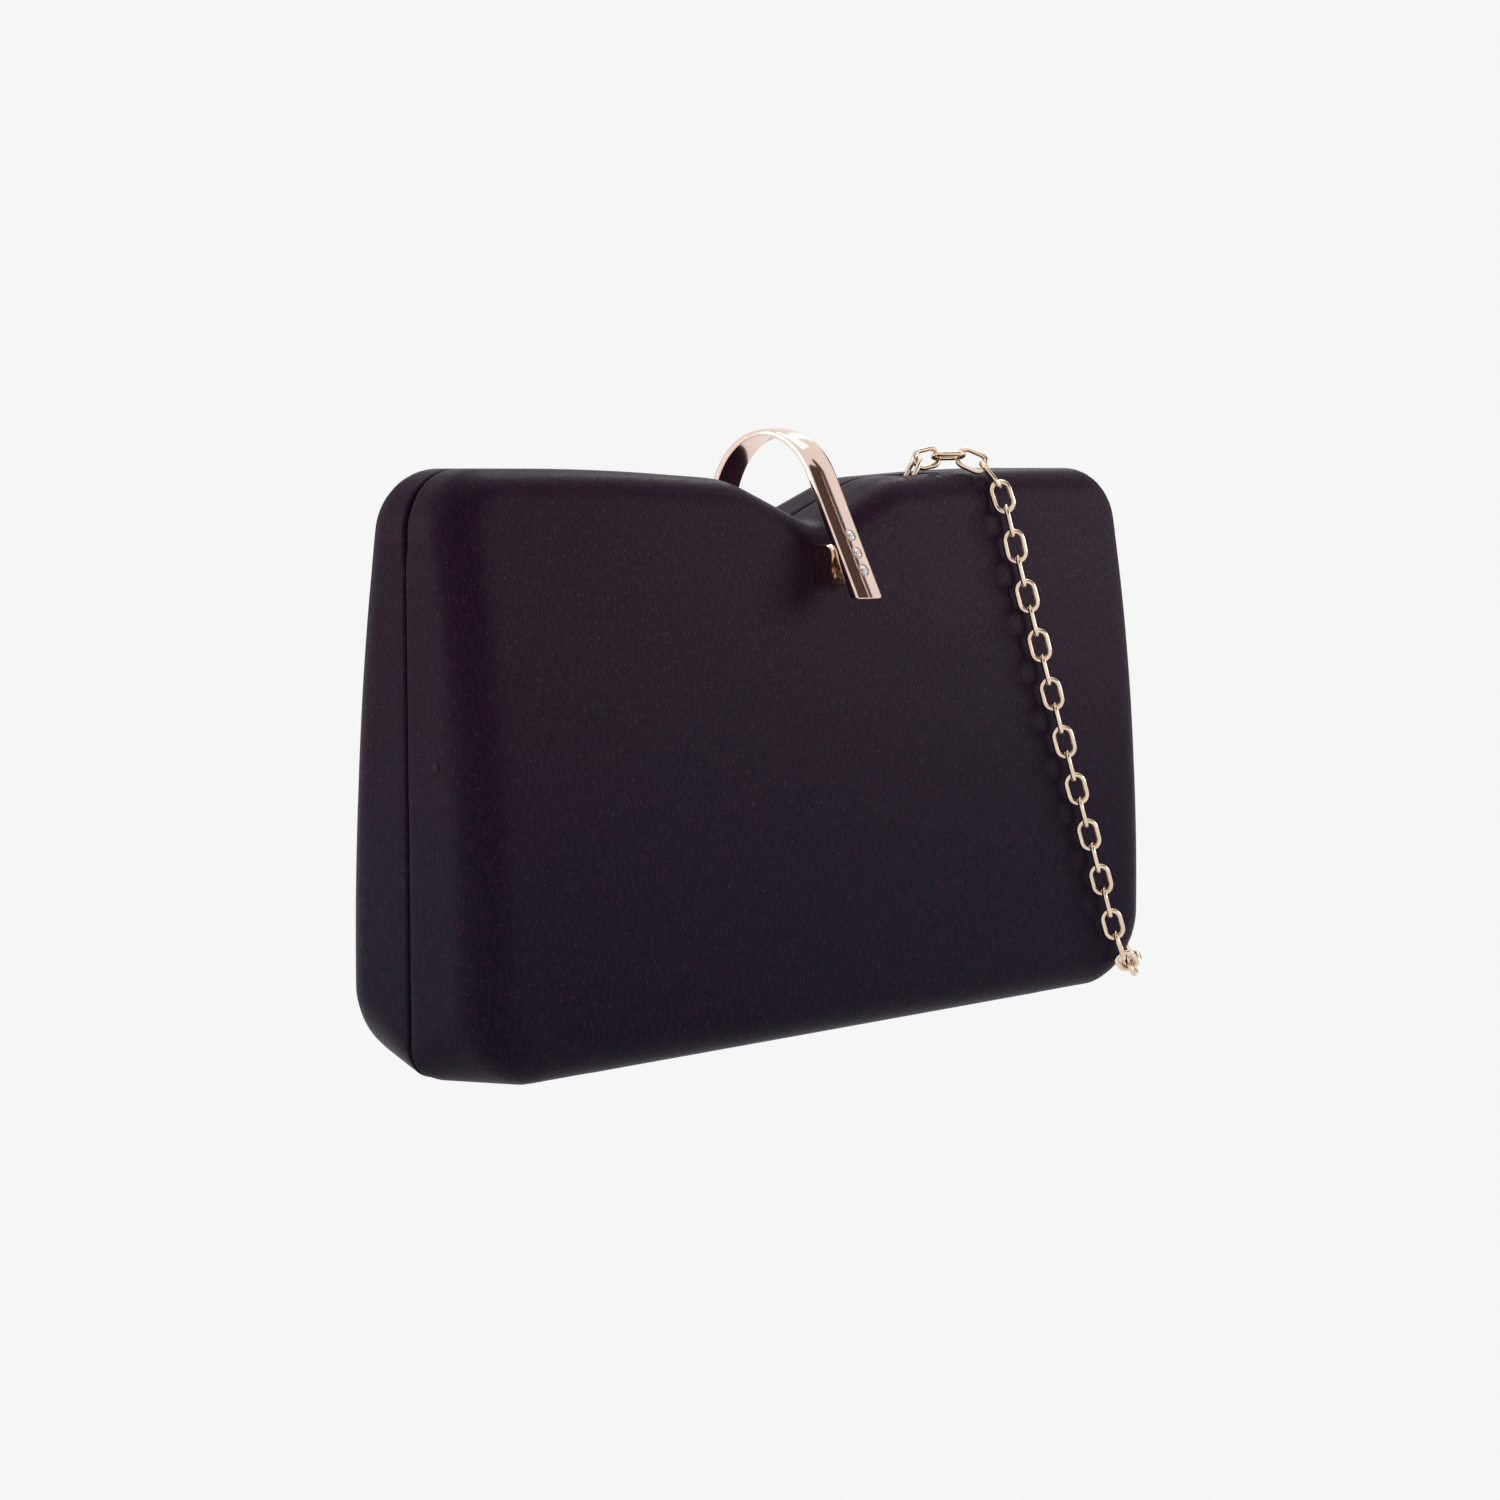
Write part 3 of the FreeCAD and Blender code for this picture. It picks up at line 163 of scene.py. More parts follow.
# ---- the chain's hank
# Millimetres, like the route.
HANK_STRAIGHT = 110.0
HANK_TURN_RADIUS = 6.0
HANK_Y = -11.1
HANK_TOP = 19.9
HANK_STEP = 2.85            # each end turn lies this much lower
HANK_END_TURNS = 4
HANK_TURN_POINTS = 4
LINK_BEND_STEPS = 11
LINK_TUBE_STEPS = 10

# ---- the satin's weave
STREAK_SCALE = (1700.0, 300.0, 1.0)         # per metre of cloth, across and along the threads
SPECK_SCALE = (2300.0, 1000.0, 1.0)
SATIN_SHEEN_HEIGHTS = (0.015, 0.10)                 # heights between which navy turns to plum, a painted sheen
SATIN_ROUGHNESS = (0.50, 0.26)              # of the ground, and of its brightest specks
SATIN_RELIEF = 0.07 * MM

# ---- camera and lights
CAMERA_PLACE = Vector((-0.47509, SEAM_Y - 0.49661, 0.12842))
CAMERA_AHEAD = Vector((0.68163, 0.72554, -0.09472))
CAMERA_LENS = 72.0
SENSOR_WIDTH = 36.0
FLOOR_SIZE = 12.0
SHADE_REACH = (0.16, 0.45)  # distance over which the floor brightens to the backdrop
SHADE_SHARE = 0.955
# Each lamp: its place, what it aims at, its width and height, and its power in watts.
LAMPS = {
    "top_softbox": ((0.30, 0.20, 0.90), (0.0, 0.0, 0.06), (0.5, 0.35), 1.6),
    "crest_strip": ((0.60, 0.40, 0.70), (0.0, -0.02, 0.12), (0.10, 0.5), 0.8),
    "end_softbox": ((-0.95, 0.70, 0.35), (-0.08, 0.0, 0.06), (0.45, 0.5), 3.4),
    "key_softbox": ((1.00, -0.78, 0.42), (0.0, 0.0, 0.06), (0.7, 0.6), 4.8),
}
# Each dark card: its place, and its width and height.
CARDS = {
    "front_card": ((-0.02, -1.0, 1.0), (1.62, 0.8)),
    "narrow_card": ((0.77, -0.64, 0.95), (0.20, 0.8)),
    "right_flag": ((1.22, 0.38, 0.25), (0.34, 0.9)),
    "left_flag": ((0.26, 1.22, 0.25), (0.34, 0.9)),
}
CARD_AIM = Vector((0.0, 0.0, 0.1))


# ---- settings
def length_setting(name, description, default, least):
    return bpy.props.FloatProperty(name=name, description=description, default=default,
                                   min=least, unit="LENGTH")


def colour_setting(name, description, *default):
    return bpy.props.FloatVectorProperty(name=name, description=description, default=default,
                                         subtype="COLOR", size=3, min=0, max=1)


class PurseSizes(bpy.types.PropertyGroup):
    link_length: length_setting("Link Length", "Outside length of one chain link",
                                8.5 * MM, 3 * MM)
    link_width: length_setting("Link Width", "Outside width of one chain link",
                               5.5 * MM, 2 * MM)
    link_wire: length_setting("Link Wire", "Thickness of the wire that the links are bent from",
                              1.22 * MM, 0.4 * MM)
    turned_edge: length_setting("Turned Edge", "Radius of the satin where it turns over the rim",
                                0.8 * MM, 0.2 * MM)
    column_step: length_setting("Column Step", "Spacing of the mesh columns round the case",
                                0.9 * MM, 0.3 * MM)
    stone_radius: length_setting("Stone Radius", "Radius of a stone at its girdle",
                                 1.25 * MM, 0.5 * MM)


class PurseColours(bpy.types.PropertyGroup):
    # Plum and navy are the satin's own thread colours; which one shows where is painted by height,
    # a painted sheen.
    satin_upper: colour_setting("Satin, Upper", "Satin near the top of the case",
                                0.0215, 0.0082, 0.0218)
    satin_lower: colour_setting("Satin, Lower", "Satin near the bottom of the case",
                                0.0125, 0.0095, 0.0215)
    satin_thread: colour_setting("Satin Threads", "Warmer threads that streak the satin",
                                 0.055, 0.018, 0.036)
    satin_fleck: colour_setting("Satin Flecks", "Pale specks that show on the satin",
                                0.20, 0.17, 0.21)
    lining: colour_setting("Lining", "Cloth inside both halves", 0.045, 0.032, 0.055)
    rose_gold: colour_setting("Rose Gold", "Polished plate of the arched lever",
                              0.86, 0.66, 0.57)
    pale_gold: colour_setting("Pale Gold", "Plate of the chain, the catch and the rims",
                              0.86, 0.68, 0.52)
    backdrop: colour_setting("Backdrop", "Floor and backdrop", 0.922, 0.922, 0.922)


def sizes():
    return bpy.context.scene.purse_sizes


def colours():
    return bpy.context.scene.purse_colours


# ---- mesh helpers
def new_object(name, bm):
    """A linked object from a bmesh, which is used up."""
    mesh = bpy.data.meshes.new(name)
    bm.to_mesh(mesh)
    bm.free()
    made = bpy.data.objects.new(name, mesh)
    bpy.context.scene.collection.objects.link(made)
    return made


def keep_piece(name, bm, body, smooth=True):
    """Turn a bmesh into a piece that rides on a body."""
    piece = new_object(name, bm)
    if smooth:
        piece.data.shade_smooth()
    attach(piece, body)
    return piece


def give_finish(piece, material):
    piece.data.materials.clear()
    piece.data.materials.append(material)


def finish_nodes(material, *names):
    """Give carried-over nodes a finish by their object's own slot."""
    for name in names:
        node = frame["nodes"][name]
        if not node.material_slots:
            node.data.materials.append(material)
        for entry in node.material_slots:
            entry.link = "OBJECT"
            entry.material = material


def unit(a, b):
    """A direction in the plane, scaled to length 1."""
    length = math.hypot(a, b)
    return a / length, b / length


# ---- outline of the case
def case_corners(bottom_radius):
    """The outline's sharp corners from the bottom right round to the bottom left, with radii."""
    right = [
        (HALF_WIDTH, 0.0, bottom_radius),
        (HALF_WIDTH, CASE_HEIGHT, CORNER_RADIUS_TOP),
        (CROWN_X, CASE_HEIGHT, CROWN_RADIUS),
        (SHOULDER_X, CASE_HEIGHT - SHOULDER_DROP, SHOULDER_RADIUS),
    ]
    left = [(-a, b, radius) for a, b, radius in reversed(right)]
    return right + [(0.0, CASE_HEIGHT - NOTCH_DROP, NOTCH_RADIUS)] + left


def corner_arcs(bottom_radius, counts):
    """The rounds of the case's outline, each as points with their outward direction."""
    corners = case_corners(bottom_radius)
    arcs = []
    for i, (a, b, radius) in enumerate(corners):
        before = corners[i - 1]
        after = corners[(i + 1) % len(corners)]
        ua, ub = unit(a - before[0], b - before[1])
        va, vb = unit(after[0] - a, after[1] - b)
        turn = math.atan2(ua * vb - ub * va, ua * va + ub * vb)
        back = radius * math.tan(abs(turn) / 2)
        side = math.copysign(1.0, turn)
        centre = (a - ua * back - side * ub * radius, b - ub * back + side * ua * radius)
        arc = []
        for j in range(counts[i] + 1):
            angle = turn * j / counts[i]
            ra = ub * math.cos(angle) + ua * math.sin(angle)
            rb = ub * math.sin(angle) - ua * math.cos(angle)
            arc.append((centre[0] + side * ra * radius, centre[1] + side * rb * radius, ra, rb))
        arcs.append(arc)
    return arcs


def case_outline(step):
    """Points round the case: at the seam, at the start of the face's round, and outwards."""
    arc_counts = [max(4, round(min(radius, 2 * CORNER_RADIUS_FACE) * 1.2 / step))
                  for _, _, radius in case_corners(CORNER_RADIUS_FACE)]
    at_seam = corner_arcs(CORNER_RADIUS_SEAM, arc_counts)
    at_face = corner_arcs(CORNER_RADIUS_FACE, arc_counts)
    points = []
    for i, (near, far) in enumerate(zip(at_seam, at_face)):
        points += [p[:2] + q for p, q in zip(near, far)]
        near_end, far_end = near[-1], far[-1]
        following = (i + 1) % len(at_seam)
        near_next, far_next = at_seam[following][0], at_face[following][0]
        length = math.hypot(far_next[0] - far_end[0], far_next[1] - far_end[1])
        count = max(1, round(length / step))
        for j in range(1, count):
            share = j / count
            points.append(tuple(p + (q - p) * share for p, q in
                                zip(near_end[:2] + far_end[:2], near_next[:2] + far_next[:2]))
                          + (far_end[2], far_end[3]))
    return points


def eased(value, edge, blur):
    """0 below the edge, 1 above it, smooth over the blur."""
    t = min(1.0, max(0.0, (value - edge) / blur + 0.5))
    return t * t * (3 - 2 * t)


def within(value, low, high, blur):
    """1 between low and high, 0 outside, smooth over the blur at both ends."""
    return eased(value, low, blur) * (1 - eased(value, high, blur))


def rim_depth(x, z, half):
    """How far from the seam plane the case's rim lies: deeper in the slots and at the hinge."""
    depth = SEAM_HALF
    if z < HINGE_Z:
        depth = HINGE_BEVEL_DEPTH * eased(HINGE_Z - z, HINGE_Z / 2, HINGE_Z)
        depth = max(SEAM_HALF, depth)
        channel = within(x, -HINGE_CHANNEL_REACH, HINGE_CHANNEL_REACH, SLOT_BLUR)
        depth += (HINGE_CHANNEL_HALF - depth) * channel
    if half == "front":
        if z > CASE_HEIGHT / 2 and abs(x) < HALF_WIDTH - CORNER_RADIUS_TOP:
            depth += (SLOT_DEPTH - depth) * within(x, *TOP_SLOT_X, SLOT_BLUR)
        if x > HALF_WIDTH - CORNER_RADIUS_TOP:
            depth += (SLOT_DEPTH - depth) * within(z, *SIDE_SLOT_Z, SLOT_BLUR)
        if x < -HALF_WIDTH + CORNER_RADIUS_TOP:
            depth += (SIDE_GAP_DEPTH - depth) * within(z, *SIDE_SLOT_Z, 3 * SLOT_BLUR)
    return depth


def face_depth(z, inset):
    """How far in front of the seam plane the big face stands."""
    radius = FACE_RADIUS - inset
    return HALF_DEPTH - FACE_RADIUS + math.sqrt(radius ** 2 - (z - WIDEST_HEIGHT) ** 2)


def side_profile(point, inset):
    """From the seam plane over the edge to the face: points and outward directions.

    Depth is measured away from the seam plane, so one profile serves both halves."""
    x, z, far_x, far_z, nx, nz = point
    inward = (x - far_x) * nx + (z - far_z) * nz
    lean = math.atan2(inward, FACE_START)
    x, z, far_x, far_z = x - nx * inset, z - nz * inset, far_x - nx * inset, far_z - nz * inset
    radius = EDGE_RADIUS - inset
    back = radius / math.cos(lean)
    drum = FACE_RADIUS - inset - radius
    depth = FACE_START
    for _ in range(4):          # each pass brings the edge's centre closer to the face's curve
        share = depth / FACE_START
        cx, cz = x + (far_x - x) * share - nx * back, z + (far_z - z) * share - nz * back
        depth = HALF_DEPTH - FACE_RADIUS + math.sqrt(drum ** 2 - (cz - WIDEST_HEIGHT) ** 2)
    tilt = math.asin((cz - WIDEST_HEIGHT) / drum)
    wall = Vector((nx * math.cos(lean), math.sin(lean), nz * math.cos(lean)))
    face = Vector((0.0, math.cos(tilt), math.sin(tilt)))
    centre = Vector((cx, depth, cz))
    rows = [(Vector((x, 0.0, z)), wall)]
    for i in range(EDGE_STEPS + 1):
        way = wall.slerp(face, i / EDGE_STEPS)
        rows.append((centre + way * radius, way))
    return rows


def cut_and_space(rows, start_depth, count):
    """The part of a profile beyond a depth, as evenly spaced points and directions."""
    kept = []
    for (p, n), (q, m) in zip(rows, rows[1:]):
        if not kept and q.y > start_depth:
            share = max(0.0, (start_depth - p.y) / (q.y - p.y))
            kept.append((p.lerp(q, share), n.lerp(m, share).normalized()))
        if kept:
            kept.append((q, m))
    lengths = [0.0]
    for (p, _), (q, _) in zip(kept, kept[1:]):
        lengths.append(lengths[-1] + (q - p).length)
    spaced = []
    j = 0
    for i in range(count + 1):
        want = lengths[-1] * i / count
        while j < len(kept) - 2 and lengths[j + 1] < want:
            j += 1
        share = (want - lengths[j]) / max(1e-9, lengths[j + 1] - lengths[j])
        share = min(1.0, max(0.0, share))
        spaced.append((kept[j][0].lerp(kept[j + 1][0], share),
                       kept[j][1].lerp(kept[j + 1][1], share).normalized()))
    return spaced, lengths[-1]


def skin_column(point, half, inset, turned, flange):
    """One column of a half's skin, from the turned-in edge at the seam to the face.

    A negative turned radius turns the edge outwards, as a lining's edge is."""
    x, z = point[:2]
    side = math.copysign(1.0, turned)
    radius = abs(turned)
    spaced, length = cut_and_space(side_profile(point, inset), rim_depth(x, z, half) + radius,
                                   SIDE_STEPS)
    edge, outward = spaced[0]
    along = (spaced[0][0] - spaced[1][0]).normalized()
    along = (along - outward * along.dot(outward)).normalized()
    centre = edge - outward * turned
    column = []
    lip = centre + along * radius
    for i in range(FLANGE_STEPS):
        back = flange * (1 - i / FLANGE_STEPS)
        column.append((lip - outward * (side * back), -back - radius * math.pi / 2))
    for i in range(TURN_STEPS):
        angle = math.pi / 2 * (1 - i / TURN_STEPS)
        reach = along * math.sin(angle) * radius + outward * math.cos(angle) * turned
        column.append((centre + reach, -radius * angle))
    column += [(p, length * i / SIDE_STEPS) for i, (p, _) in enumerate(spaced)]
    # Distances from the face's edge outwards, for the cloth's own flat coordinates.
    return [(p, length - s) for p, s in column]


def half_skin(half, inset, turned, flange):
    """A half's whole skin with the cloth's flat coordinates in metres.

    The face closes in rings towards a spine along its middle."""
    side = -1 if half == "front" else 1
    bm = bmesh.new()
    flat = bm.loops.layers.uv.new("cloth")
    columns = []
    spots = {}
    spine = HALF_WIDTH * 0.55
    middle_z = CASE_HEIGHT * 0.45
    for point in case_outline(sizes().column_step):
        nx, nz = point[4:]
        column = skin_column(point, half, inset, turned, flange)
        rim, _ = column[-1]
        goal = (max(-spine, min(spine, rim.x)), middle_z)
        verts = []
        for p, out in column:
            vert = bm.verts.new((p.x, SEAM_Y + side * p.y, p.z))
            spots[vert] = (rim.x + nx * out, rim.z + nz * out)
            verts.append(vert)
        for j in range(1, FACE_RINGS + 1):
            share = j / FACE_RINGS
            x = rim.x + (goal[0] - rim.x) * share
            z = rim.z + (goal[1] - rim.z) * share
            vert = bm.verts.new((x, SEAM_Y + side * face_depth(z, inset), z))
            spots[vert] = (x, z)
            verts.append(vert)
        columns.append(verts)
    outside_in = (side < 0) == (turned > 0)
    for left, right in zip(columns, columns[1:] + columns[:1]):
        for a, b, c, d in zip(left, right, right[1:], left[1:]):
            face = bm.faces.new((a, b, c, d) if outside_in else (d, c, b, a))
            for loop in face.loops:
                loop[flat].uv = spots[loop.vert]
    bmesh.ops.remove_doubles(bm, verts=bm.verts, dist=1e-6)
    return bm


# ---- finishes
def new_finish(name):
    """A new material with its node tree and its surface shader."""
    material = bpy.data.materials.new(name)
    material.use_nodes = True
    return material, material.node_tree, material.node_tree.nodes["Principled BSDF"]


def add(tree, kind, inputs=None, **settings):
    """A node with its settings, and its inputs by name: a value, or a socket to link from."""
    node = tree.nodes.new(kind)
    for key, value in settings.items():
        setattr(node, key, value)
    for key, value in (inputs or {}).items():
        if isinstance(value, bpy.types.NodeSocket):
            tree.links.new(value, node.inputs[key])
        else:
            node.inputs[key].default_value = value
    return node


def ramp(tree, factor, stops):
    """A colour read from a factor between stops, each a position and a colour."""
    node = add(tree, "ShaderNodeValToRGB", {"Fac": factor})
    elements = node.color_ramp.elements
    while len(elements) < len(stops):
        elements.new(0.5)
    for element, (position, colour) in zip(elements, stops):
        element.position = position
        element.color = (*colour, 1.0)
    return node.outputs["Color"]


def cloudy(tree, place, scale, detail, roughness=0.5):
    """A noise factor; the scale is in clouds per metre."""
    return add(tree, "ShaderNodeTexNoise", {"Vector": place, "Scale": scale, "Detail": detail,
                                            "Roughness": roughness}).outputs["Fac"]


def remap(tree, value, start, to=(0.0, 1.0)):
    """A value's place in one range, carried over to another and kept within it."""
    return add(tree, "ShaderNodeMapRange", {
        "Value": value, "From Min": start[0], "From Max": start[1],
        "To Min": to[0], "To Max": to[1]}).outputs["Result"]


def maths(tree, operation, *values, **settings):
    """The outcome of one sum on plain values or sockets."""
    return add(tree, "ShaderNodeMath", dict(enumerate(values)), operation=operation,
               **settings).outputs[0]


def emboss(tree, shader, height, strength, distance):
    """Raise the surface by a height factor; the distance is its full height in metres."""
    bump = add(tree, "ShaderNodeBump", {"Strength": strength, "Distance": distance,
                                        "Height": height})
    tree.links.new(bump.outputs["Normal"], shader.inputs["Normal"])


def object_place(tree):
    """Where a point lies on its own object, in metres."""
    return add(tree, "ShaderNodeTexCoord").outputs["Object"]


def satin_finish():
    """Dark shot satin, streaked by upright threads; its plum shifting to navy lower down is a
    painted sheen.
    """
    tint = colours()
    material, tree, shader = new_finish("shot_satin")
    flat = add(tree, "ShaderNodeUVMap", uv_map="cloth").outputs["UV"]

    def threads(scale, detail, roughness):
        stretched = add(tree, "ShaderNodeMapping", {"Vector": flat, "Scale": scale})
        return cloudy(tree, stretched.outputs["Vector"], 1.0, detail, roughness)

    streak = threads(STREAK_SCALE, 2.5, 0.6)
    speck = threads(SPECK_SCALE, 2.0, 0.7)
    # Painted sheen: the shot colour changes with height, unevenly, in place of its change with the
    # angle of view.
    height = add(tree, "ShaderNodeSeparateXYZ", {"Vector": object_place(tree)}).outputs["Z"]
    rise = remap(tree, height, SATIN_SHEEN_HEIGHTS)
    uneven = maths(tree, "ADD", cloudy(tree, flat, 22.0, 2.0), -0.5)
    shift = maths(tree, "MULTIPLY_ADD", uneven, 0.8, rise)
    ground = ramp(tree, shift, [(0.0, tint.satin_lower), (1.0, tint.satin_upper)])
    # Warm threads over it, then pale specks whose hue varies.
    warm = remap(tree, streak, (0.48, 0.74), (0.0, 0.62))
    threaded = add(tree, "ShaderNodeMix", {"Factor": warm}, data_type="RGBA")
    tree.links.new(ground, threaded.inputs[6])
    threaded.inputs[7].default_value = (*tint.satin_thread, 1.0)
    pale = remap(tree, speck, (0.62, 0.84), (0.0, 0.75))
    red, green, blue = tint.satin_fleck
    fleck = ramp(tree, cloudy(tree, flat, 700.0, 1.0),
                 [(0.38, (0.5 * red, 0.6 * green, 1.0 * blue)), (0.5, (red, green, blue)),
                  (0.62, (1.2 * red, 0.85 * green, 0.7 * blue))])
    surface = add(tree, "ShaderNodeMix", {"Factor": pale}, data_type="RGBA")
    tree.links.new(threaded.outputs[2], surface.inputs[6])
    tree.links.new(fleck, surface.inputs[7])
    tree.links.new(surface.outputs[2], shader.inputs["Base Color"])
    tree.links.new(remap(tree, speck, (0.35, 0.75), SATIN_ROUGHNESS), shader.inputs["Roughness"])
    emboss(tree, shader, maths(tree, "ADD", streak, speck), 0.7, SATIN_RELIEF)
    shader.inputs["Specular IOR Level"].default_value = 0.04
    shader.inputs["Sheen Weight"].default_value = 0.015
    shader.inputs["Sheen Roughness"].default_value = 0.3
    shader.inputs["Sheen Tint"].default_value = (0.62, 0.58, 0.74, 1.0)
    return material


def lining_finish():
    """Matt dark cloth with a soft nap."""
    tint = colours().lining
    material, tree, shader = new_finish("lining_cloth")
    place = object_place(tree)
    dark = tuple(part * 0.7 for part in tint)
    tree.links.new(ramp(tree, cloudy(tree, place, 40.0, 2.0), [(0.3, dark), (0.7, tint)]),
                   shader.inputs["Base Color"])
    emboss(tree, shader, cloudy(tree, place, 2600.0, 2.0), 0.4, 0.1 * MM)
    shader.inputs["Roughness"].default_value = 0.6
    shader.inputs["Sheen Weight"].default_value = 0.4
    shader.inputs["Sheen Roughness"].default_value = 0.4
    return material


def metal_finish(name, colour, roughness, wear):
    """Plated metal: slightly uneven polish with fine rub marks."""
    material, tree, shader = new_finish(name)
    place = object_place(tree)
    haze = cloudy(tree, place, 160.0, 4.0)
    deep = tuple(part * (1.0 - 0.5 * wear) for part in colour)
    tree.links.new(ramp(tree, haze, [(0.32, deep), (0.6, colour)]), shader.inputs["Base Color"])
    tree.links.new(remap(tree, haze, (0.3, 0.7), (roughness * (1 + wear), roughness)),
                   shader.inputs["Roughness"])
    emboss(tree, shader, cloudy(tree, place, 3200.0, 2.0), 0.06 + 0.3 * wear, 0.02 * MM)
    shader.inputs["Metallic"].default_value = 1.0
    return material


def shell_finish():
    """Dark moulded board, which shows only in the slots."""
    material, tree, shader = new_finish("moulded_shell")
    mottle = cloudy(tree, object_place(tree), 300.0, 3.0)
    tree.links.new(ramp(tree, mottle, [(0.35, (0.02, 0.02, 0.022)), (0.65, (0.035, 0.035, 0.04))]),
                   shader.inputs["Base Color"])
    emboss(tree, shader, mottle, 0.3, 0.1 * MM)
    shader.inputs["Roughness"].default_value = 0.5
    return material


def stone_finish():
    """Clear stone, foiled at the back so that it stays bright against the plate."""
    material, tree, shader = new_finish("cut_stone")
    cloud = cloudy(tree, object_place(tree), 900.0, 1.0)
    tree.links.new(ramp(tree, cloud, [(0.3, (0.86, 0.88, 0.92)), (0.7, (1.0, 1.0, 1.0))]),
                   shader.inputs["Base Color"])
    shader.inputs["Roughness"].default_value = 0.02
    shader.inputs["IOR"].default_value = 1.6
    shader.inputs["Metallic"].default_value = 0.35
    shader.inputs["Transmission Weight"].default_value = 0.6
    return material


# ---- operators
class PurseOperator(bpy.types.Operator):
    bl_options = {"REGISTER", "UNDO"}


class PURSE_OT_camera(PurseOperator):
    """Place the camera at eye level with the top of the case, left of its front"""
    bl_idname = "purse.camera"
    bl_label = "Camera"

    def execute(self, context):
        data = bpy.data.cameras.new("view")
        data.lens = CAMERA_LENS
        data.sensor_width = SENSOR_WIDTH
        data.clip_start = 10 * MM
        camera = bpy.data.objects.new("view", data)
        camera.location = CAMERA_PLACE
        camera.rotation_euler = CAMERA_AHEAD.normalized().to_track_quat("-Z", "Y").to_euler()
        context.scene.collection.objects.link(camera)
        context.scene.camera = camera
        context.scene.view_settings.view_transform = "Standard"
        return {"FINISHED"}


class PURSE_OT_stage(PurseOperator):
    """Lay the pale floor, hang the soft lamps and stand the dark cards"""
    bl_idname = "purse.stage"
    bl_label = "Stage"

    def execute(self, context):
        tint = (*colours().backdrop, 1.0)
        floor = self.plane("floor", FLOOR_SIZE, FLOOR_SIZE)
        give_finish(floor, self.floor_finish(tint))
        self.light_world(context, tint)
        for name, (place, aim, size, power) in LAMPS.items():
            self.hang(name, place, aim, size, power)
        card_finish, _, shader = new_finish("brown_card")
        shader.inputs["Base Color"].default_value = (0.12, 0.075, 0.06, 1.0)
        shader.inputs["Roughness"].default_value = 0.9
        for name, (place, size) in CARDS.items():
            card = self.plane(name, *size)
            card.location = place
            card.rotation_euler = (CARD_AIM - Vector(place)).to_track_quat("Z", "Y").to_euler()
            give_finish(card, card_finish)
        return {"FINISHED"}

    def plane(self, name, width, height):
        """A stage plane, hidden from the camera: the open front half may hang below the floor."""
        bm = bmesh.new()
        bmesh.ops.create_grid(bm, x_segments=1, y_segments=1, size=0.5)
        bmesh.ops.scale(bm, vec=(width, height, 1.0), verts=bm.verts)
        plane = new_object(name, bm)
        plane.visible_camera = False
        return plane

    def floor_finish(self, tint):
        """Matt floor that reflections see as the backdrop, a little shaded near the purse."""
        material, tree, shader = new_finish("pale_floor")
        shader.inputs["Base Color"].default_value = (0.80, 0.80, 0.80, 1.0)
        shader.inputs["Roughness"].default_value = 0.9
        shader.inputs["Specular IOR Level"].default_value = 0.1
        glow = add(tree, "ShaderNodeEmission", {"Color": tint, "Strength": 1.0})
        away = add(tree, "ShaderNodeVectorMath", {0: object_place(tree)},
                   operation="LENGTH").outputs["Value"]
        share = remap(tree, away, SHADE_REACH, (SHADE_SHARE, 1.0))
        both = add(tree, "ShaderNodeMixShader", {0: self.seen_share(tree, share),
                                                 1: shader.outputs[0], 2: glow.outputs[0]})
        tree.links.new(both.outputs[0], tree.nodes["Material Output"].inputs["Surface"])
        return material

    def seen_share(self, tree, share=1.0):
        """1 where the backdrop is looked at, straight or in a reflection, times a share."""
        path = add(tree, "ShaderNodeLightPath").outputs
        seen = maths(tree, "ADD", path["Is Camera Ray"], path["Is Glossy Ray"])
        seen = maths(tree, "ADD", seen, path["Is Transmission Ray"], use_clamp=True)
        return maths(tree, "MULTIPLY", seen, share)

    def light_world(self, context, tint):
        """Grey light from all round, with the backdrop's tint where it is looked at."""
        world = bpy.data.worlds.new("pale_room")
        context.scene.world = world
        world.use_nodes = True
        tree = world.node_tree
        ground = tree.nodes["Background"]
        ground.inputs["Color"].default_value = (0.60, 0.60, 0.61, 1.0)
        ground.inputs["Strength"].default_value = 0.75
        plain = add(tree, "ShaderNodeBackground", {"Color": tint, "Strength": 1.0})
        both = add(tree, "ShaderNodeMixShader", {0: self.seen_share(tree), 1: ground.outputs[0],
                                                 2: plain.outputs[0]})
        tree.links.new(both.outputs[0], tree.nodes["World Output"].inputs["Surface"])

    def hang(self, name, place, aim, size, power):
        """One soft lamp that faces what it aims at."""
        data = bpy.data.lights.new(name, "AREA")
        data.shape = "RECTANGLE"
        data.size, data.size_y = size
        data.energy = power
        lamp = bpy.data.objects.new(name, data)
        lamp.location = place
        lamp.rotation_euler = (Vector(aim) - Vector(place)).to_track_quat("-Z", "Y").to_euler()
        bpy.context.scene.collection.objects.link(lamp)


class PURSE_OT_satin(PurseOperator):
    """Stretch the satin over both halves and turn it over their rims"""
    bl_idname = "purse.satin"
    bl_label = "Satin Covers"

    def execute(self, context):
        material = satin_finish()
        for half in ("front", "rear"):
            bm = half_skin(half, 0.0, sizes().turned_edge, SATIN_FLANGE)
            piece = keep_piece(half + "_satin", bm, half + "_case")
            give_finish(piece, material)
            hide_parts(half + "_cover", half + "_padding")
        return {"FINISHED"}


class PURSE_OT_insides(PurseOperator):
    """Line both halves and finish their shells"""
    bl_idname = "purse.insides"
    bl_label = "Insides"

    def execute(self, context):
        cloth = lining_finish()
        for half in ("front", "rear"):
            bm = half_skin(half, LINING_INSET, -LINING_TURN, LINING_FLANGE)
            piece = keep_piece(half + "_lining_cloth", bm, half + "_case")
            give_finish(piece, cloth)
            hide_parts(half + "_lining")
        finish_nodes(shell_finish(), "front_shell", "rear_shell")
        return {"FINISHED"}


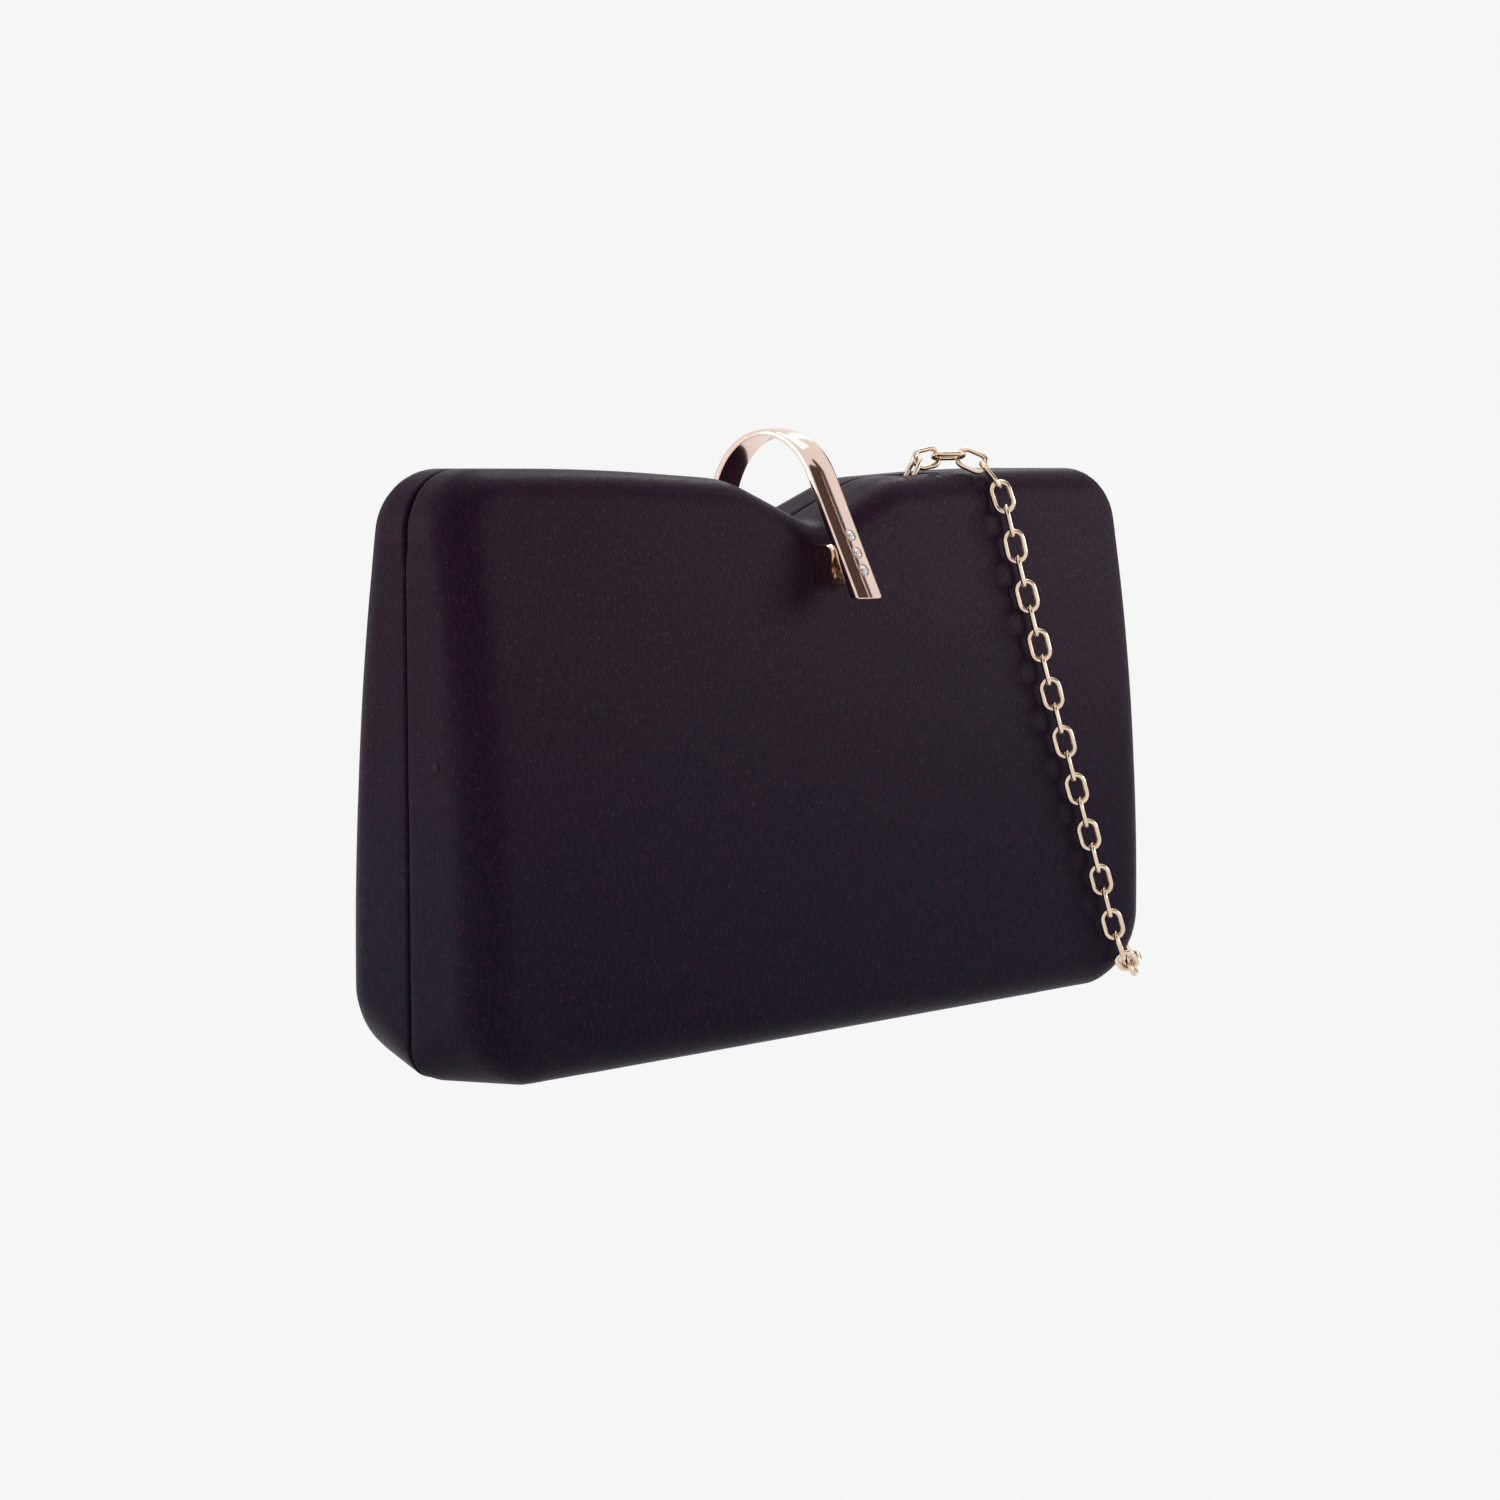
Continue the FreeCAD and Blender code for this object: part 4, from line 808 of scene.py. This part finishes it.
class PURSE_OT_metal(PurseOperator):
    """Plate the lever, the catch, the rims, the hinge and the chain's fittings"""
    bl_idname = "purse.metal"
    bl_label = "Metalwork"

    def execute(self, context):
        tint = colours()
        rose = metal_finish("rose_gold_plate", tint.rose_gold, 0.10, 0.1)
        gold = metal_finish("pale_gold_plate", tint.pale_gold, 0.16, 0.25)
        steel = metal_finish("hinge_steel", (0.52, 0.50, 0.48), 0.32, 0.4)
        black = metal_finish("blackened_rivet", (0.02, 0.018, 0.02), 0.45, 0.3)
        finish_nodes(rose, "arch_lug", "pivot_bracket", "pivot_pin", "bracket_screws")
        finish_nodes(black, "anchor_rivets")
        finish_nodes(gold, "catch_housing", "catch_spring", "catch_rivets", "catch_backing_plate",
                     "front_rim_frame", "rear_rim_frame", "chain_anchor_left", "chain_anchor_right",
                     "chain_clip_left", "chain_clip_right", "bracket_backing_plate")
        finish_nodes(steel, "hinge_leaf_front", "hinge_leaf_rear", "hinge_rivets_front",
                     "hinge_rivets_rear", "hinge_pin")
        return {"FINISHED"}


class PURSE_OT_lever(PurseOperator):
    """Bend the crowned lever from its pivot over the top and down its front leg"""
    bl_idname = "purse.lever"
    bl_label = "Arched Lever"

    def execute(self, context):
        bm = bmesh.new()
        rings = [self.section(bm, *station) for station in self.stations()]
        for a, b in zip(rings, rings[1:]):
            for j in range(len(a)):
                k = (j + 1) % len(a)
                bm.faces.new((a[j], a[k], b[k], b[j]))
        bm.faces.new(list(reversed(rings[0])))
        bm.faces.new(rings[-1])
        eye = bmesh.ops.create_cone(bm, cap_ends=True, segments=EYE_SEGMENTS,
                                    radius1=LEVER_EYE, radius2=LEVER_EYE,
                                    depth=LEVER_EYE_WIDTH)["verts"]
        bmesh.ops.rotate(bm, verts=eye, matrix=Matrix.Rotation(math.pi / 2, 3, "Y"))
        bmesh.ops.translate(bm, verts=eye, vec=Vector(LEVER_PIVOT))
        bmesh.ops.recalc_face_normals(bm, faces=bm.faces)
        piece = keep_piece("crowned_lever", bm, "clasp_lever")
        piece.data.set_sharp_from_angle(angle=math.radians(40))
        give_finish(piece, bpy.data.materials["rose_gold_plate"])
        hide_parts("arch_lever")
        return {"FINISHED"}

    def side_line(self, arc):
        """One edge of the lever's side: round the arch from its foot, then down the leg."""
        y, drop, radius, lean = arc
        centre = Vector((0.0, SEAM_Y + y, CASE_HEIGHT - drop))
        last = math.pi - math.radians(lean)
        middle = SEAM_Y + (ARCH_OUTER[0] + ARCH_OUTER[2] + ARCH_INNER[0] + ARCH_INNER[2]) / 2
        points = []
        for i in range(ARCH_STEPS + 1):
            turn = last * i / ARCH_STEPS
            out = (LEVER_PIVOT[1] - middle) * max(0.0, 1.0 - turn / FOOT_TURN) ** 2
            points.append(centre + Vector((0.0, math.cos(turn) * radius + out,
                                           math.sin(turn) * radius)))
        start = points[-1]
        fall = start.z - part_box("arch_lever")[0].z
        for i in range(1, LEG_STEPS + 1):
            share = i / LEG_STEPS
            points.append(start - Vector((0.0, fall * math.tan(math.radians(lean)), fall)) * share)
        return points

    def stations(self):
        """Inner and outer points, half width, share of the thickness in the crown, and inset."""
        rows = []
        count = ARCH_STEPS + LEG_STEPS
        lines = zip(self.side_line(ARCH_INNER), self.side_line(ARCH_OUTER))
        for i, (inner, outer) in enumerate(lines):
            if i <= ARCH_STEPS:
                share = eased(i / ARCH_STEPS, 0.5, 1.0)
                width = LEVER_WIDTH_FOOT + (LEVER_WIDTH_TOP - LEVER_WIDTH_FOOT) * share
            else:
                share = (i - ARCH_STEPS) / LEG_STEPS
                width = LEVER_WIDTH_TOP + (LEVER_WIDTH_TIP - LEVER_WIDTH_TOP) * share
            crown = CROWN_SHARE_FOOT + CROWN_SHARE_RISE * eased(i / count, 0.45, 0.5)
            rows.append([inner, outer, width / 2, crown, 0.0])
        # The last station is drawn back a little and repeated smaller, which bevels the tip.
        inner, outer, half, crown, _ = rows[-1]
        back = (rows[-2][1] - outer).normalized() * LEVER_EDGE
        rows[-1] = [inner + back, outer + back, half, crown, 0.0]
        rows.append([inner, outer, half, crown, LEVER_EDGE])
        return rows

    def section(self, bm, inner, outer, half, crown, inset):
        """One cross-section: flat inside, upright sides and a crowned outside."""
        out = outer - inner
        thick = out.length - 2 * inset
        out.normalize()
        inner = inner + out * inset
        half -= inset
        rise = thick * (1 - crown)
        flank = [(half - LEVER_EDGE, 0.0), (half - LEVER_EDGE * 0.3, LEVER_EDGE * 0.3),
                 (half, LEVER_EDGE), (half, rise * 0.6)]
        spots = [(-half + LEVER_EDGE, 0.0), (0.0, 0.0)] + flank
        for i in range(CROWN_STEPS + 1):
            angle = math.pi * i / CROWN_STEPS
            spots.append((half * math.cos(angle), rise + thick * crown * math.sin(angle)))
        spots += [(-x, h) for x, h in reversed(flank[1:])]
        return [bm.verts.new(inner + out * h + Vector((x, 0.0, 0.0))) for x, h in spots]


class PURSE_OT_stones(PurseOperator):
    """Cut the three round stones and set them in the lever's leg"""
    bl_idname = "purse.stones"
    bl_label = "Stones"

    def execute(self, context):
        y, drop, radius, lean = ARCH_OUTER
        lean = math.radians(lean)
        along = Vector((0.0, math.sin(lean), math.cos(lean)))
        out = Vector((0.0, -math.cos(lean), math.sin(lean)))
        crest = Vector((0.0, SEAM_Y + y, CASE_HEIGHT - drop)) + out * radius
        middle = crest - along * MIDDLE_STONE
        centres = [middle + along * (STONE_PITCH * i) for i in (-1, 0, 1)]
        bm = bmesh.new()
        for centre in centres:
            self.cut_stone(bm, centre, out, along)
        piece = keep_piece("cut_stones", bm, "clasp_lever", smooth=False)
        give_finish(piece, stone_finish())
        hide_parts("stones")
        bm = bmesh.new()
        for centre in centres:
            self.collet(bm, centre, out, along)
        piece = keep_piece("stone_collets", bm, "clasp_lever")
        give_finish(piece, metal_finish("setting_metal", (0.42, 0.29, 0.24), 0.3, 0.5))
        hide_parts("stone_settings")
        return {"FINISHED"}

    def collet(self, bm, centre, out, along):
        """A low ring round one stone, with a rounded lip and four prongs over the girdle."""
        radius = sizes().stone_radius
        side = along.cross(out)
        rings = []
        for i in range(COLLET_STEPS):
            angle = 2 * math.pi * i / COLLET_STEPS
            wave = math.cos(PRONGS * (angle - math.pi / 4))
            prong = max(0.0, wave) ** PRONG_SHARPNESS
            way = side * math.cos(angle) + along * math.sin(angle)
            ring = []
            for reach, rise in COLLET_PROFILE:
                if rise > 0.0:
                    reach, rise = reach - PRONG_REACH * prong, rise + PRONG_RISE * prong
                ring.append(bm.verts.new(centre + way * (radius * reach) + out * (radius * rise)))
            rings.append(ring)
        for a, b in zip(rings, rings[1:] + rings[:1]):
            for j in range(len(COLLET_PROFILE) - 1):
                bm.faces.new((a[j], b[j], b[j + 1], a[j + 1]))
        bmesh.ops.recalc_face_normals(bm, faces=bm.faces)

    def cut_stone(self, bm, centre, out, along):
        """A table, a ring of crown facets, a thin girdle and a pointed pavilion."""
        radius = sizes().stone_radius
        side = along.cross(out)

        def ring(reach, rise, count, turn=0.0):
            points = []
            for i in range(count):
                angle = 2 * math.pi * (i + turn) / count
                way = side * math.cos(angle) + along * math.sin(angle)
                points.append(bm.verts.new(centre + out * (rise * radius) + way * (reach * radius)))
            return points

        edges = 2 * STONE_FACETS
        table = ring(*TABLE_RING, STONE_FACETS)
        crown = ring(*CROWN_RING, STONE_FACETS, 0.5)
        girdle = ring(*GIRDLE_RING, edges)
        under = ring(*UNDER_RING, edges)
        point = bm.verts.new(centre - out * (PAVILION_DEPTH * radius))
        bm.faces.new(table)
        for i in range(STONE_FACETS):
            after = table[(i + 1) % STONE_FACETS]
            near, middle, far = girdle[2 * i], girdle[2 * i + 1], girdle[(2 * i + 2) % edges]
            bm.faces.new((table[i], crown[i], after))
            bm.faces.new((crown[i], middle, far))
            bm.faces.new((crown[i], near, middle))
            bm.faces.new((crown[i], far, after))
            bm.faces.new((crown[i], table[i], near))
        for i in range(edges):
            j = (i + 1) % edges
            bm.faces.new((girdle[i], under[i], under[j], girdle[j]))
            bm.faces.new((under[i], point, under[j]))
        bmesh.ops.recalc_face_normals(bm, faces=bm.faces)


# ---- the chain's course
def hank_points():
    """The hank's turns: straight runs joined by end turns, each a little lower."""
    points = []
    half = HANK_STRAIGHT / 2
    z = HANK_TOP
    end = -1
    reach = HANK_TURN_RADIUS / math.cos(math.pi / (2 * HANK_TURN_POINTS))
    for _ in range(HANK_END_TURNS):
        points.append((end * half * 0.35, HANK_Y + end * HANK_TURN_RADIUS, z))
        for i in range(HANK_TURN_POINTS):
            share = (i + 0.5) / HANK_TURN_POINTS
            angle = math.pi * share
            points.append((end * (half + reach * math.sin(angle)),
                           HANK_Y + end * reach * math.cos(angle), z - HANK_STEP * share))
        z -= HANK_STEP
        end = -end
    for share in (0.35, 0.9):
        points.append((end * half * share, HANK_Y + end * HANK_TURN_RADIUS, z))
    return points


def chain_line():
    """The chain's centre line, read from one smooth curve through its route."""
    route = CHAIN_ROUTE + hank_points() + TAIL_ROUTE
    curve = bpy.data.curves.new("chain_route", "CURVE")
    curve.dimensions = "3D"
    curve.resolution_u = 24
    spline = curve.splines.new("NURBS")
    spline.points.add(len(route) - 1)
    for point, (x, y, z) in zip(spline.points, route):
        point.co = (x * MM, SEAM_Y + y * MM, z * MM, 1.0)
    spline.order_u = 3
    spline.use_endpoint_u = True
    holder = bpy.data.objects.new("chain_route", curve)
    bpy.context.scene.collection.objects.link(holder)
    bpy.context.view_layer.update()
    mesh = bpy.data.meshes.new_from_object(holder)
    line = [v.co.copy() for v in mesh.vertices]
    bpy.data.meshes.remove(mesh)
    bpy.data.objects.remove(holder)
    bpy.data.curves.remove(curve)
    return line


class Line:
    """A polyline that can be asked for its point and side at any distance."""

    def __init__(self, points, start_side, start_near):
        self.points = points
        self.at = [0.0]
        for a, b in zip(points, points[1:]):
            self.at.append(self.at[-1] + (b - a).length)
        self.length = self.at[-1]
        first = min(range(len(points) - 1), key=lambda i: (points[i] - start_near).length)
        self.sides = [None] * len(points)
        self.carry(first, start_side, 1)
        self.carry(first, start_side, -1)

    def carry(self, first, side, step):
        """Carry the side along without twisting it."""
        i = first
        while 0 <= i < len(self.points):
            a = self.points[max(0, i - 1)]
            b = self.points[min(len(self.points) - 1, i + 1)]
            way = (b - a).normalized()
            side = (side - way * side.dot(way)).normalized()
            self.sides[i] = side
            i += step

    def place(self, distance):
        """The point and the side there."""
        low = min(max(bisect.bisect_right(self.at, distance) - 1, 0), len(self.at) - 2)
        high = low + 1
        share = (distance - self.at[low]) / max(1e-9, self.at[high] - self.at[low])
        share = min(1.0, max(0.0, share))
        return (self.points[low].lerp(self.points[high], share),
                self.sides[low].lerp(self.sides[high], share).normalized())


def link_ring(length, width, wire):
    """One oval link about the origin: its length along X, its width along Y."""
    radius = wire / 2
    bend = (width - wire) / 2
    straight = (length - width) / 2
    rings = []
    for end in (1, -1):
        for i in range(LINK_BEND_STEPS):
            angle = math.pi * (i / (LINK_BEND_STEPS - 1) - 0.5) + (0 if end > 0 else math.pi)
            out = Vector((math.cos(angle), math.sin(angle), 0.0))
            centre = Vector((end * straight, 0.0, 0.0)) + out * bend
            ring = []
            for j in range(LINK_TUBE_STEPS):
                turn = 2 * math.pi * j / LINK_TUBE_STEPS
                ring.append(centre + out * radius * math.cos(turn)
                            + Vector((0, 0, radius * math.sin(turn))))
            rings.append(ring)
    return rings


class PURSE_OT_chain(PurseOperator):
    """String the chain's links along its route"""
    bl_idname = "purse.chain"
    bl_label = "Chain"

    def execute(self, context):
        size = sizes()
        x, y, z = CHAIN_ROUTE[ON_THE_FACE]
        line = Line(chain_line(), Vector((0, -1, 0)), Vector((x * MM, SEAM_Y + y * MM, z * MM)))
        pitch = size.link_length - 2 * size.link_wire
        room = line.length - size.link_length
        count = int(room / pitch) + 1
        pitch = room / (count - 1)
        rings = link_ring(size.link_length, size.link_width, size.link_wire)
        bm = bmesh.new()
        for i in range(count):
            middle = size.link_length / 2 + i * pitch
            _, side = line.place(middle)
            ahead, _ = line.place(middle + pitch / 2)
            behind, _ = line.place(middle - pitch / 2)
            way = (ahead - behind).normalized()
            side = (side - way * side.dot(way)).normalized()
            across = way.cross(side)
            turn = math.radians(45 if i % 2 else -45)     # each link lies square to the last
            up = side * math.cos(turn) + across * math.sin(turn)
            flank = up.cross(way)
            centre = (ahead + behind) / 2
            rows = [[bm.verts.new(centre + way * p.x + flank * p.y + up * p.z) for p in ring]
                    for ring in rings]
            for a, b in zip(rows, rows[1:] + rows[:1]):
                for j in range(len(a)):
                    k = (j + 1) % len(a)
                    bm.faces.new((a[j], b[j], b[k], a[k]))
        piece = keep_piece("chain_links", bm, "front_case")
        give_finish(piece, bpy.data.materials["pale_gold_plate"])
        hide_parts("chain_strap", "chain_hank", "chain_tail")
        return {"FINISHED"}


class PURSE_PT_sidebar(bpy.types.Panel):
    """Lists the steps that dress the purse"""
    bl_idname = "PURSE_PT_sidebar"
    bl_label = "Evening Purse"
    bl_space_type = "VIEW_3D"
    bl_region_type = "UI"
    bl_category = "Purse"

    def draw(self, context):
        layout = self.layout
        for operator in STEPS:
            layout.operator(operator.bl_idname)
        for group in (context.scene.purse_sizes, context.scene.purse_colours):
            box = layout.box()
            for name in group.bl_rna.properties.keys():
                if name not in ("rna_type", "name"):
                    box.prop(group, name)


STEPS = (PURSE_OT_camera, PURSE_OT_stage, PURSE_OT_satin, PURSE_OT_insides, PURSE_OT_metal,
         PURSE_OT_lever, PURSE_OT_stones, PURSE_OT_chain)
CLASSES = (PurseSizes, PurseColours) + STEPS + (PURSE_PT_sidebar,)


def register():
    for cls in CLASSES:
        bpy.utils.register_class(cls)
    bpy.types.Scene.purse_sizes = bpy.props.PointerProperty(type=PurseSizes)
    bpy.types.Scene.purse_colours = bpy.props.PointerProperty(type=PurseColours)


def unregister():
    del bpy.types.Scene.purse_colours
    del bpy.types.Scene.purse_sizes
    for cls in reversed(CLASSES):
        bpy.utils.unregister_class(cls)


def main():
    register()
    for operator in STEPS:
        prefix, name = operator.bl_idname.split(".")
        getattr(getattr(bpy.ops, prefix), name)()


if __name__ == "__main__":
    main()
